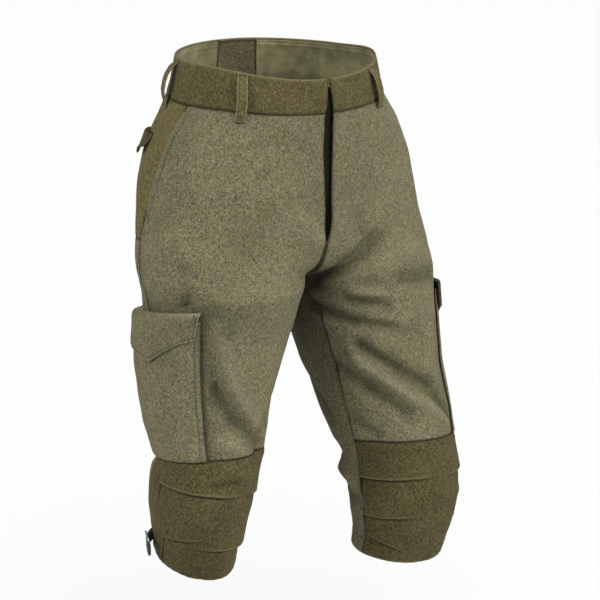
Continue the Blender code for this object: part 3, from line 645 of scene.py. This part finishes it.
def grid_lines(length, step, first, last):
    """Places from 0 to 1 of a grid's lines over a length, closer at both edges and at stitches."""
    wanted = [0.0, length]
    for edge, start, way in ((first, 0, 1), (last, length, -1)):
        rows = [at + beside for at in edge.stitches for beside in STITCH_LINES]
        wanted += [start + way * at for at in (*FINE_LINES, *rows) if at < 0.45 * length]
    wanted = sorted(wanted)
    fixed = [wanted[0]] + [b for a, b in zip(wanted, wanted[1:]) if b - a > LEAST_LINE]
    lines = [np.linspace(a, b, max(1, round((b - a) / step)), endpoint=False)
             for a, b in zip(fixed, fixed[1:])]
    return np.concatenate(lines + [[length]]) / length


def word(side):
    return "right" if side < 0 else "left"


def named(name):
    """The object that was just added, under its name."""
    made = bpy.context.active_object
    made.name = made.data.name = name
    return made


def give_wall(made, wall):
    """Thickens a cloth surface inwards and rounds its cut edges."""
    bpy.ops.object.modifier_add(type="SOLIDIFY")
    solid = made.modifiers[-1]
    solid.thickness, solid.offset = wall, -1
    bpy.ops.object.modifier_apply(modifier=solid.name)
    bpy.ops.object.modifier_add(type="BEVEL")
    soft = made.modifiers[-1]
    soft.width, soft.segments = wall * CUT_ROUND, 2
    soft.limit_method, soft.angle_limit = "ANGLE", CUT_ANGLE
    bpy.ops.object.modifier_apply(modifier=soft.name)
    bpy.ops.object.shade_smooth()


def dress(made, finish):
    made.data.materials.clear()
    made.data.materials.append(finish)


# Sewing

Stitch = namedtuple("Stitch", "middle along up long")
SEWN = {-1: [], 1: []}


def sew(piece, across, down):
    """Puts stitches along a line on a piece."""
    line = piece.surface(across, down, STITCH_THICK * 0.25)
    length = np.concatenate([[0], np.cumsum(np.linalg.norm(np.diff(line, axis=0), axis=1))])
    for i in range(int(length[-1] / STITCH_PITCH - 1)):
        at = (i + 1) * STITCH_PITCH
        ends = [np.array([np.interp(at + k * STITCH_LONG / 2, length, line[:, axis])
                          for axis in range(3)]) for k in (-1, 1)]
        spot = np.interp(at, length, across), np.interp(at, length, down)
        up = outward(piece.side, *piece.place(*[np.array(x) for x in spot]))
        along = ends[1] - ends[0]
        long = np.linalg.norm(along)
        SEWN[piece.side].append(Stitch((ends[0] + ends[1]) / 2, along / long, up, long))


TACK_PITCH = 0.0007


def bar_tack(piece, across, down, turn, long, wide):
    """A short bar of close crosswise stitches on a piece."""
    t, v = piece.place(np.array(across), np.array(down))
    here = piece.surface(np.array(across), np.array(down), STITCH_THICK * 0.5)
    up = outward(piece.side, t, v)
    flat = np.cross(up, (0, 0, 1))
    flat /= np.linalg.norm(flat)
    along = math.cos(turn) * flat + math.sin(turn) * np.cross(flat, up)
    cross = np.cross(up, along)
    for i in range(int(long / TACK_PITCH)):
        spot = here + along * (i * TACK_PITCH - long / 2)
        SEWN[piece.side].append(Stitch(spot, cross, up, wide))


def make_stitches(side):
    """All the stitches of one side as one joined mesh, from one small rounded stitch."""
    bpy.ops.object.select_all(action="DESELECT")
    bpy.ops.mesh.primitive_uv_sphere_add(segments=6, ring_count=4, radius=0.5)
    made = named("stitches_" + word(side))
    one = np.array([vertex.co for vertex in made.data.vertices])
    faces = [tuple(face.vertices) for face in made.data.polygons]
    rows = SEWN[side]
    spots = np.zeros((len(rows), len(one), 3))
    for i, stitch in enumerate(rows):
        across = np.cross(stitch.up, stitch.along)
        spots[i] = (stitch.middle + one[:, 2:3] * stitch.along * stitch.long
                    + one[:, 0:1] * across * STITCH_THICK + one[:, 1:2] * stitch.up * STITCH_THICK)
    many = [tuple(k + i * len(one) for k in face) for i in range(len(rows)) for face in faces]
    made.data.clear_geometry()
    made.data.from_pydata(spots.reshape(-1, 3).tolist(), [], many)
    made.data.update()
    bpy.ops.object.shade_smooth()
    dress(made, THREAD)
    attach(made, BODY)


# Materials

class Reading:
    """A socket's value, with the sums that a maker would write."""

    def __init__(self, finish, socket):
        self.finish, self.socket = finish, socket

    def sum(self, operation, *others):
        node = self.finish.node("ShaderNodeMath", {"operation": operation},
                                dict(enumerate(others)))
        return Reading(self.finish, node.outputs[0])

    def __add__(self, other):
        return self.sum("ADD", self, other)

    def __radd__(self, other):
        return self.sum("ADD", other, self)

    def __sub__(self, other):
        return self.sum("SUBTRACT", self, other)

    def __mul__(self, other):
        return self.sum("MULTIPLY", self, other)

    def sine(self):
        return self.sum("SINE", self)

    def clamped(self):
        node = self.finish.node("ShaderNodeClamp", {}, {"Value": self})
        return Reading(self.finish, node.outputs[0])


class Finish:
    """A material while it is being made."""

    def __init__(self, name):
        self.material = bpy.data.materials.new(name)
        self.material.use_nodes = True
        self.tree = self.material.node_tree
        self.shader = self.tree.nodes["Principled BSDF"]
        places = self.node("ShaderNodeTexCoord", {}, {})
        self.spot = places.outputs["Object"]
        self.cloth = places.outputs["UV"]

    def node(self, kind, settings, sockets):
        """One node: its settings first, then the values or links of its sockets."""
        made = self.tree.nodes.new(kind)
        for key, value in settings.items():
            setattr(made, key, value)
        for key, value in sockets.items():
            self.join(made.inputs[key], value)
        return made

    def join(self, socket, value):
        if isinstance(value, Reading):
            value = value.socket
        if isinstance(value, bpy.types.NodeSocket):
            self.tree.links.new(value, socket)
        else:
            socket.default_value = value

    def noise(self, scale, detail, rough, spot=None):
        made = self.node("ShaderNodeTexNoise", {}, {
            "Vector": spot or self.spot, "Scale": scale, "Detail": detail,
            "Roughness": rough})
        return Reading(self, made.outputs["Factor" if "Factor" in made.outputs else 0])

    def steps(self, value, colours):
        """One of some colours, in equal steps of a value from 0 to 1."""
        made = self.node("ShaderNodeValToRGB", {}, {0: value})
        ramp = made.color_ramp
        ramp.interpolation = "CONSTANT"
        while len(ramp.elements) < len(colours):
            ramp.elements.new(0.5)
        for i, colour in enumerate(colours):
            ramp.elements[i].position, ramp.elements[i].color = i / len(colours), colour
        return made.outputs["Color"]

    def mix(self, share, first, second, blend="MIX"):
        made = self.node("ShaderNodeMix", {"data_type": "RGBA", "blend_type": blend},
                         {"Factor": share, 6: first, 7: second})
        return made.outputs[2]

    def stretched(self, scale):
        return self.node("ShaderNodeMapping", {}, {"Vector": self.spot, "Scale": scale}).outputs[0]

    def parted(self, spot):
        made = self.node("ShaderNodeSeparateXYZ", {}, {0: spot})
        return [Reading(self, out) for out in made.outputs]

    def attribute(self, name):
        made = self.node("ShaderNodeAttribute", {"attribute_name": name}, {})
        return Reading(self, made.outputs["Fac"])

    def relief(self, high, distance, strength):
        made = self.node("ShaderNodeBump", {}, {"Height": high, "Distance": distance,
                                                "Strength": strength})
        self.join(self.shader.inputs["Normal"], made.outputs[0])

    def set(self, **values):
        for key, value in values.items():
            title = key.replace("_", " ").title().replace("Ior", "IOR")
            self.join(self.shader.inputs[title], value)


DEEP = 0.52              # dyed cloth takes up the rest of the studio's light


def srgb(red, green, blue, deep=DEEP):
    """A colour as it shows in the studio light, 0 to 255, in the shader's own scale."""
    parts = [c / 255 / 12.92 if c <= 10 else ((c / 255 + 0.055) / 1.055) ** 2.4
             for c in (red, green, blue)]
    return (*(deep * part for part in parts), 1)


FLECK = 640.0            # flecks of dyed fibre for each metre
FIBRE = 1700.0
TWILL = 0.0021           # width of a rib of the weave
PALE_MIX = 0.6           # share of the pale colour where the nap is worn and where highlight is painted
DARK_MIX = 0.85           # and of the dark colour in a pressed seam's, and in painted shade
DARK_LEVEL = 0.10           # share of the ground colour left in a pressed seam and in painted shade


def wool(name, ground, flecks, pale, deep=DEEP):
    """Napped heather wool: a ground colour with flecks of other dyed fibre."""
    made = Finish(name)
    ground, pale = srgb(*ground, deep), srgb(*pale, deep)
    cells = made.node("ShaderNodeTexVoronoi", {"feature": "F1"}, {
        "Vector": made.stretched((1, 1, 0.8)), "Scale": FLECK, "Randomness": 1.0})
    pick = made.node("ShaderNodeSeparateColor", {}, {0: cells.outputs["Color"]})
    tones = made.steps(pick.outputs[0], [srgb(*fleck, deep) for fleck in flecks])
    tangle = made.noise(FLECK * 0.8, 2, 0.6)
    colour = made.mix((tangle * 3.2 - 0.9).clamped(), ground, tones)
    fibre = made.noise(FIBRE, 3, 0.7)
    nap = made.noise(75, 3, 0.6)
    patch = made.noise(17, 2, 0.5)
    grain = Reading(made, pick.outputs[1])
    cloud = made.noise(7, 2, 0.5)
    shade = 0.34 + fibre * 0.26 + nap * 0.26 + patch * 0.34 + cloud * 0.32 + grain * 0.14
    lit = made.node("ShaderNodeCombineColor", {}, {0: shade, 1: shade, 2: shade})
    colour = made.mix(1.0, colour, lit.outputs[0], "MULTIPLY")
    # paler where the nap is worn, and painted highlight on fold ridges, tuck lips and rolled edges
    colour = made.mix(made.attribute("wear") * PALE_MIX, colour, pale)
    # darker in pressed seams and beside stitches, and painted shade in fold valleys, tucks, beside
    # the cargo bag and between the legs
    pressed = (*(DARK_LEVEL * c for c in ground[:3]), 1)
    colour = made.mix(made.attribute("crease") * DARK_MIX, colour, pressed)
    u, v, _ = made.parted(made.cloth)
    rib = ((u + v) * (2 * math.pi / TWILL) + made.noise(160, 2, 0.6) * 9.0).sine()
    high = rib * 0.14 + fibre * 0.9 + tangle * 0.8
    made.set(base_color=colour, roughness=0.96, sheen_weight=0.10, sheen_roughness=0.5,
             sheen_tint=pale, specular_ior_level=0.12)
    made.relief(high, 0.0009, 0.8)
    return made.material


def cotton(name, ground, other):
    """Plain woven cotton, slightly uneven in its dye."""
    made = Finish(name)
    u, v, _ = made.parted(made.cloth)
    thread = 2 * math.pi / 0.0011
    weave = (u * thread).sine() * (v * thread).sine()
    patch = made.noise(38, 3, 0.6)
    fibre = made.noise(900, 2, 0.6)
    colour = made.mix((patch * 2.6 - 0.8 + (fibre - 0.5) * 0.5).clamped(), ground, other)
    made.set(base_color=colour, roughness=0.9, sheen_weight=0.08, specular_ior_level=0.2)
    made.relief(weave * 0.5 + fibre * 0.5, 0.0004, 0.7)
    return made.material


def ribbed(name, ground, other, rib, distance, shine):
    """Woven tape or webbing with ribs across it."""
    made = Finish(name)
    u, v, _ = made.parted(made.cloth)
    across = (u * (2 * math.pi / rib)).sine()
    along = (v * (2 * math.pi / (rib * 0.7))).sine()
    fibre = made.noise(1300, 2, 0.6)
    high = across * 0.5 + along * across * 0.3 + fibre * 0.4
    colour = made.mix((across * 0.3 + fibre * 0.9 - 0.1).clamped(), ground, other)
    made.set(base_color=colour, roughness=0.75, specular_ior_level=shine)
    made.relief(high, distance, 0.8)
    return made.material


def thread(name, colour, other):
    made = Finish(name)
    twist = made.noise(2600, 2, 0.6)
    made.set(base_color=made.mix((twist * 2 - 0.5).clamped(), colour, other),
             roughness=0.75, sheen_weight=0.1)
    made.relief(twist, 0.0003, 0.6)
    return made.material


def satin_steel(name):
    made = Finish(name)
    brush = made.noise(900, 3, 0.6, made.stretched((1, 1, 0.15)))
    dull = made.noise(120, 3, 0.6)
    made.set(base_color=made.mix(dull, srgb(206, 207, 206, 1), srgb(170, 171, 169, 1)),
             roughness=brush * 0.2 + 0.22, metallic=1.0)
    made.relief(brush, 0.00015, 0.4)
    return made.material


def floor_finish():
    made = Finish("pale_floor")
    made.set(base_color=(0.64, 0.64, 0.64, 1), roughness=0.9, specular_ior_level=0.1)
    return made.material


DARK_FLECKS = ((120, 112, 70), (84, 82, 62), (106, 96, 50), (70, 61, 38),
               (102, 86, 54), (124, 116, 82))


def dark_wool(name, deep):
    """The same dark wool, scaled lighter for a painted lit copy and darker for a painted shaded
    copy.
    """
    return wool(name, (95, 88, 58), DARK_FLECKS, (142, 134, 96), deep)


LIGHT_WOOL = wool("light_wool", (124, 119, 90), (
    (156, 151, 122), (144, 136, 88), (106, 107, 98), (122, 118, 86), (94, 85, 58),
    (144, 140, 112)), (166, 160, 130))
# painted light: a darker copy of the dark wool is painted shade, and a lighter copy is painted
# light
SHADED_DARK_WOOL = dark_wool("knee_wool", 0.45)
BAND_WOOL = dark_wool("band_wool", 0.52)
LIT_DARK_WOOL = dark_wool("hip_wool", 0.70)
INSET_WOOL = wool("inset_wool", (122, 112, 84), (
    (136, 120, 92), (96, 94, 84), (120, 106, 70), (80, 70, 52), (130, 124, 100),
    (106, 92, 68)), (150, 138, 108))
LINING = cotton("lining", srgb(118, 114, 78), srgb(172, 166, 122))
WEBBING = ribbed("webbing", srgb(52, 60, 46), srgb(84, 88, 70), 0.0016, 0.0006, 0.3)
TAPE = ribbed("tape", srgb(22, 26, 15), srgb(40, 44, 28), 0.0009, 0.0003, 0.05)
THREAD = thread("thread", srgb(58, 54, 34), srgb(84, 78, 52))
STEEL = satin_steel("steel")


# Pieces of the garment

PIECES = {}


def keep(name, side, place, lift, wall, edges, finish, node, rests_on, step=STEP,
         tall_step=None, calm=1.0, marks=None):
    """Makes a piece, sews it, attaches it to the body and hides the model part that it stands for.
    """
    piece = Piece(name, side, place, lift, wall, edges, calm, marks)
    made = piece.make(finish, step, tall_step)
    piece.rows_of_stitches()
    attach(made, BODY)
    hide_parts(node)
    PIECES[name] = piece


MOUTH_TOP, MOUTH_FOOT = 1.05, 3.95       # rows where the slanted pocket's mouth begins and ends
MOUTH_LIFT, MOUTH_WIDE = 0.0015, 0.012   # how far its edge stands off, and over what width
MOUTH_DIP = 0.0018                       # and how far the hip piece dips under it
MOUTH_ROW = 0.0085                       # from the edge to its inner row of stitches
FLY_FOOT, FLY_LIFT = 4.3, 0.0006
SIDE_WIDE = 0.010                        # width of the fly's and the hip piece's raised edges
VENT_TOP, VENT_EDGE = 10.9, 0.026        # row, and from the knee panel's back edge to its fold
HEM_WIDE, HEM_RISE = 0.024, 0.0005       # the hem is doubled
EASE = 0.0008                            # the knee cloth is eased into its seam
LEG_SHADE = 0.85                              # painted shade between the legs, where no light falls
FLATTER = 0.25           # nothing pulls at the left bag, so it stands off so much of the right one
LESS = 0.75              # and its flap so much
SAG = 0.0012             # unevenness of the bag's cloth
FLAP_PRESS = 0.0014      # the flap's sewn edge is pressed down


def mouth(v):
    """1 along the open edge of the slanted pocket, 0 above and below it."""
    return smooth((v - MOUTH_TOP) / 0.3) * smooth((MOUTH_FOOT - v) / 0.3)


def front_lift(at):
    """The front's side edge is the open edge of a slanted pocket, which stands off."""
    fly = smooth((FLY_FOOT - at.v) / 0.6)
    return (MOUTH_LIFT * mouth(at.v) * (1 - smooth(at.right / MOUTH_WIDE))
            + FLY_LIFT * fly * (1 - smooth(at.left / SIDE_WIDE)))


def front_marks(at):
    """The pocket's edge is paler and its inner row of stitches darker, and the cloth round the
    crotch gets painted shade.
    """
    edge = mouth(at.v)
    stitches = 0.3 * hump(at.right, MOUTH_ROW, 0.0012) - 0.8 * (at.right < 0.002)
    crotch = LEG_SHADE * hump(at.t, 0.01, 0.10) * hump(at.v, 7.1, 1.2)
    return 1.2 * edge * hump(at.right, 0, 0.0026), edge * stitches + crotch


def seat_lift(at):
    """The hip piece dips under the slanted pocket's edge."""
    return -MOUTH_DIP * mouth(at.v) * (1 - smooth(at.left / SIDE_WIDE))


def tuck_marks(side):
    """Painted highlight on a tuck's lip, with worn nap, and painted shadow on the line under it.
    """
    def marks(at):
        # the doubled edge of the vent, from under the knee down, with painted highlight on its lip
        # and painted shadow beside its fold
        vent = smooth((at.v - VENT_TOP) / 0.3)
        lip = 0.7 * vent * hump(at.right, VENT_EDGE - 0.0016, 0.0012)
        line = vent * hump(at.right, VENT_EDGE + 0.0008, 0.0013)
        for tuck in TUCKS:
            if tuck.side == side:
                k, gap = tuck_gap(tuck, at.t, at.v)
                on = np.clip((1 - k) * 3, 0, 1) * (k > TUCK_START)
                lip = lip + on * hump(gap, -0.0018, 0.0013)
                line = line + on * hump(gap, 0.0010, 0.0012)
        return lip, line
    return marks


def back_lift(at):
    return HEM_RISE * smooth((HEM_WIDE - at.foot) / 0.003)


def knee_lift(at):
    return EASE * hump(at.top, 0.010, 0.008) + back_lift(at)


def back_marks(at):
    """Painted shade on the inner thigh."""
    inner = smooth((at.t - 0.70) / 0.2)
    return 0, LEG_SHADE * smooth((10.4 - at.v) / 3.4) * inner * smooth((at.v - 5.4) / 1.2)


def facing_lift(at):
    """The facing lies under the band, and under the panels below it."""
    under = BAND_LIFT - BAND_WALL - 2 * GAP
    return np.interp(at.v, [0, 0.7, 0.92], [under, under - GAP, -WALL - 0.0012])


def bag_lift(share):
    """The cargo pocket's bag stands off its stitched edges."""
    def lift(at):
        soft = SAG * np.sin(at.left / 0.021 + 1.4) * np.sin(at.top / 0.037)
        row = even_rows(POCKET_TOP, POCKET_FOOT, at.top / (at.top + at.foot))
        full = curve(POCKET_ACROSS, at.left / (at.left + at.right)) * table(POCKET_DOWN, row)
        return WALL + POCKET_EDGE + share * full * (POCKET_PUFF + soft)
    return lift


def flap_lift(flap, share=1.0):
    """A flap is pressed down at its sewn edge and stands off below it."""
    def lift(at):
        down = at.top / (at.top + at.foot)
        k = (at.t - flap.t0) / (flap.t1 - flap.t0)
        ends = flap.ends + (1 - flap.ends) * smooth(np.minimum(k, 1 - k) / FLAP_END)
        ends = ends * (1 - 0.5 * smooth((k - 0.88) / 0.12))
        high = share * (flap.full - flap.sewn) * rounded(down, FLAP_BEND) * ends
        pressed = FLAP_PRESS * (1 - smooth(at.top / 0.004))
        return flap.sewn - pressed + high + flap.corner * down ** 2 * smooth((k - 0.3) / 0.7)
    return lift


def flap_front_shade(at):
    """Painted shade on the front end of the flap."""
    return 0, smooth((0.024 - at.left) / 0.016)


def flap_place(flap):
    def place(across, down):
        t = flap.t0 + (flap.t1 - flap.t0) * across
        v = flap.top + (table(flap.foot, across) - flap.top) * down
        return t, (leaned(t, v) if flap is CARGO_FLAP else v)
    return place


def bag_place(across, down):
    v = even_rows(POCKET_TOP, POCKET_FOOT, down)
    t = pocket_front(v) * (1 - across) + POCKET_BACK * across
    return t, leaned(t, v)


def half(side):
    """Every cloth piece of one side."""
    name = word(side)
    fly = lambda v: front_edge(side, v)
    side_front = lambda v: side_edge(v, -1)
    side_back = lambda v: side_edge(v, 1)
    hem = Edge(0.0005, (0.022,), 1)
    keep("band_" + name, side, panel_place(0, BAND_FOOT, fly, back_edge),
         lambda at: BAND_LIFT, BAND_WALL, (SEAM, SEAM, RIM, STITCHED), BAND_WOOL,
         "waistband_" + name, "waist_facing_" + name, step=0.0026, tall_step=0.0022, calm=0.6)
    end = INSET_START if side > 0 else 1.0
    facing = panel_place(FACING_TOP, FACING_FOOT, lambda v: np.full(np.shape(v), FACING_START),
                         lambda v: end - GAP / 2 / girth(v))
    keep("facing_" + name, side, facing, facing_lift, FACING_WALL,
         (SEAM, SEAM, Edge(0.0003, (0.007,)), SEAM), LINING,
         "waist_facing_" + name, "band_" + name, calm=0.5)
    if side > 0:
        inset = panel_place(FACING_TOP, FACING_FOOT,
                            lambda v: INSET_START + GAP / 2 / girth(v), back_edge)
        keep("back_inset_cloth", side, inset, facing_lift, FACING_WALL, (SEAM,) * 4,
             INSET_WOOL, "back_inset", "band_left", calm=0.5)

    keep("front_cloth_" + name, side,
         panel_place(BAND_FOOT + 0.002, KNEE_TOP - 0.002, fly, side_front, knee_line),
         front_lift, WALL, (SEAM, DOUBLE, SEAM, SEAM), LIGHT_WOOL,
         "front_" + name, "band_" + name, tall_step=0.0026, marks=front_marks)
    # the knee panels take the darker copy of the dark wool: painted shade
    keep("knee_cloth_" + name, side,
         panel_place(KNEE_TOP + 0.003, HEM, fly, side_front, knee_line), knee_lift, WALL,
         (SEAM, FREE, STITCHED, hem), SHADED_DARK_WOOL, "knee_" + name,
         "front_cloth_" + name, tall_step=0.0013, calm=1.2, marks=tuck_marks(side))
    # the seat takes the lighter copy of the dark wool: painted light
    keep("seat_cloth_" + name, side,
         panel_place(BAND_FOOT + 0.002, SEAT_FOOT - 0.004, side_back, back_edge, dropped),
         seat_lift, WALL, (SEAM,) * 4, LIT_DARK_WOOL, "seat_" + name, "band_" + name)
    keep("back_leg_cloth_" + name, side,
         panel_place(SEAT_FOOT + 0.004, HEM, side_back, back_edge, dropped), back_lift, WALL,
         (SEAM, SEAM, STITCHED, hem), LIGHT_WOOL, "back_leg_" + name,
         "seat_cloth_" + name, marks=back_marks)

    # the left cargo flap gets painted shade at its front end
    puff, full, marks = (1.0, 1.0, None) if side < 0 else (FLATTER, LESS, flap_front_shade)
    # the bag's front edge and foot are darker than a seam: painted shadow beside the standing bag
    keep("cargo_bag_" + name, side, bag_place, bag_lift(puff), WALL,
         (Edge(0.0, (0.0022, 0.0085), 0, 1.3), Edge(0.0, (0.0022,), 0, 1), BARE,
          Edge(0.0012, (), 0, 2.0)), LIGHT_WOOL, "cargo_pocket_" + name,
         "front_cloth_" + name, step=0.0024)
    keep("cargo_lid_" + name, side, flap_place(CARGO_FLAP), flap_lift(CARGO_FLAP, full), FLAP_WALL,
         (RUBBED, RUBBED, BARE, RUBBED), LIGHT_WOOL, "cargo_flap_" + name,
         "cargo_bag_" + name, step=0.0022, marks=marks)
    # the hip flap takes the darker copy of the dark wool: painted shade
    keep("hip_lid_" + name, side, flap_place(HIP_FLAP), flap_lift(HIP_FLAP), FLAP_WALL,
         (FREE, FREE, STITCHED, FREE), SHADED_DARK_WOOL, "hip_flap_" + name,
         "seat_cloth_" + name, step=0.0020, calm=0.5)
    keep("strap_" + name, side, strap_place, lambda at: STRAP_NEAR * curve(STRAP_RISE, at.t),
         DOUBLED, (BARE,) * 4, WEBBING, "hem_strap_" + name, "knee_cloth_" + name,
         step=0.0018, calm=0.0)


def strap_place(across, down):
    drop = STRAP_WIDE / 2 / LEG_ROW
    return (STRAP_RISE[0][0] + (STRAP_RISE[-1][0] - STRAP_RISE[0][0]) * across,
            STRAP_V - drop + 2 * drop * down)


def belt_loop(loop):
    def place(across, down):
        v = LOOP_RISE[0][0] + (LOOP_RISE[-1][0] - LOOP_RISE[0][0]) * down
        return loop.middle + loop.lean * (1 - v) + LOOP_WIDE * (across - 0.5) / girth(v), v

    def lift(at):
        rise = curve(LOOP_RISE, at.v)
        return rise + (loop.bow - 1) * np.clip(rise - LOOP_FLAT, 0, None)

    free = Edge(0.0003, (0.0026,), 1)
    # the loops take the lighter copy of the dark wool: painted light
    keep("loop_" + loop.name, loop.side, place, lift, LOOP_WALL, (free, free, BARE, BARE),
         LIT_DARK_WOOL, "belt_loop_" + loop.name, "band_" + word(loop.side),
         step=0.0012, tall_step=0.0014, calm=0.0)


def shield():
    """Tape behind the front opening."""
    def place(across, down):
        v = even_rows(SHIELD_LOW[0][0], SHIELD_LOW[-1][0], down)
        return (SHIELD_RIGHT + (SHIELD_LEFT - SHIELD_RIGHT) * across) / girth(v), v

    keep("zip_tape", 1, place, lambda at: curve(SHIELD_LOW, at.v), SHIELD_WALL, (SEAM,) * 4,
         TAPE, "fly_shield", "front_cloth_right", calm=0.0)


def buckle(side):
    """A smooth wire frame, over and under the webbing."""
    middle, reach = (BUCKLE_BACK + BUCKLE_FRONT) / 2, (BUCKLE_BACK - BUCKLE_FRONT) / 2
    high = (STRAP_WIDE / 2 + BUCKLE_ROOM) / LEG_ROW
    path = []
    for turn, (cx, cy) in enumerate(((1, 1), (-1, 1), (-1, -1), (1, -1))):
        for angle in np.linspace(0, math.pi / 2, 9) + turn * math.pi / 2:
            t = middle + reach * (0.75 * cx + 0.25 * math.cos(angle))
            v = STRAP_V + high * (0.85 * cy + 0.15 * math.sin(angle))
            path.append(point(side, t, v, STRAP_NEAR * table(BUCKLE_RISE, t)))
    bpy.ops.object.select_all(action="DESELECT")
    bpy.ops.curve.primitive_nurbs_path_add(radius=1)
    made = named("wire_buckle_" + word(side))
    made.data.splines.clear()
    line = made.data.splines.new("POLY")
    line.points.add(len(path) - 1)
    for spot, place in zip(line.points, path):
        spot.co = (*place, 1)
    line.use_cyclic_u = True
    made.data.dimensions = "3D"
    made.data.bevel_depth, made.data.bevel_resolution = BAR, 5
    bpy.ops.object.convert(target="MESH")
    bpy.ops.object.shade_smooth()
    dress(made, STEEL)
    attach(made, BODY)
    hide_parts("buckle_" + word(side))


for which in (-1, 1):
    half(which)
    buckle(which)
shield()
for each in LOOPS:
    belt_loop(each)

# Bars of close stitches where the cloth is pulled: across, down, turn, length, width
TACKS = {
    "front_cloth_": ((0.965, 0.315, 1.3, 0.011, 0.0030),),
    "cargo_lid_": ((0.035, 0.12, 1.5, 0.010, 0.0030), (0.965, 0.12, 1.5, 0.010, 0.0030)),
    "cargo_bag_": ((0.06, 0.03, 0.0, 0.009, 0.0030), (0.94, 0.03, 0.0, 0.009, 0.0030)),
    "loop_": ((0.5, 0.035, 0.0, 0.011, 0.0022), (0.5, 0.955, 0.0, 0.011, 0.0022)),
}
for start, bars in TACKS.items():
    for piece in PIECES.values():
        if piece.name.startswith(start):
            for bar in bars:
                bar_tack(piece, *bar)
for which in (-1, 1):
    make_stitches(which)

# Floor, light and camera

FLOOR = -1.15
bpy.ops.object.select_all(action="DESELECT")
bpy.ops.mesh.primitive_plane_add(size=160, location=(0, 0, FLOOR))
ground = named("floor")
dress(ground, floor_finish())

AIM = Vector((0.0198, -0.0155, -0.3165))
CAMERA = Vector((-2.168, -2.775, 0.4285))
LENS = 154.4

Lamp = namedtuple("Lamp", "name place strength")
LAMPS = (
    Lamp("from_the_left_side", (1.9, -3.4, 2.0), 3.9),
    Lamp("from_the_right_side", (-3.0, 0.4, 2.2), 2.9),
    Lamp("from_the_front", (-1.6, -2.6, 2.4), 1.0),
)
SOFTNESS = math.radians(34)
for lamp in LAMPS:
    bpy.ops.object.light_add(type="SUN", location=lamp.place)
    light = bpy.context.active_object
    light.name = lamp.name
    light.data.energy, light.data.angle = lamp.strength, SOFTNESS
    light.rotation_euler = (-Vector(lamp.place)).to_track_quat("-Z", "Y").to_euler()

SKY = 0.25
world = bpy.data.worlds.new("studio")
world.use_nodes = True
world.node_tree.nodes["Background"].inputs[0].default_value = (1, 1, 1, 1)
world.node_tree.nodes["Background"].inputs[1].default_value = SKY
bpy.context.scene.world = world
bpy.context.scene.view_settings.view_transform = "Standard"

bpy.ops.object.camera_add(location=CAMERA)
camera = bpy.context.active_object
camera.rotation_euler = (AIM - CAMERA).to_track_quat("-Z", "Y").to_euler()
camera.data.lens, camera.data.sensor_width = LENS, 36
camera.data.clip_end = 300
bpy.context.scene.camera = camera
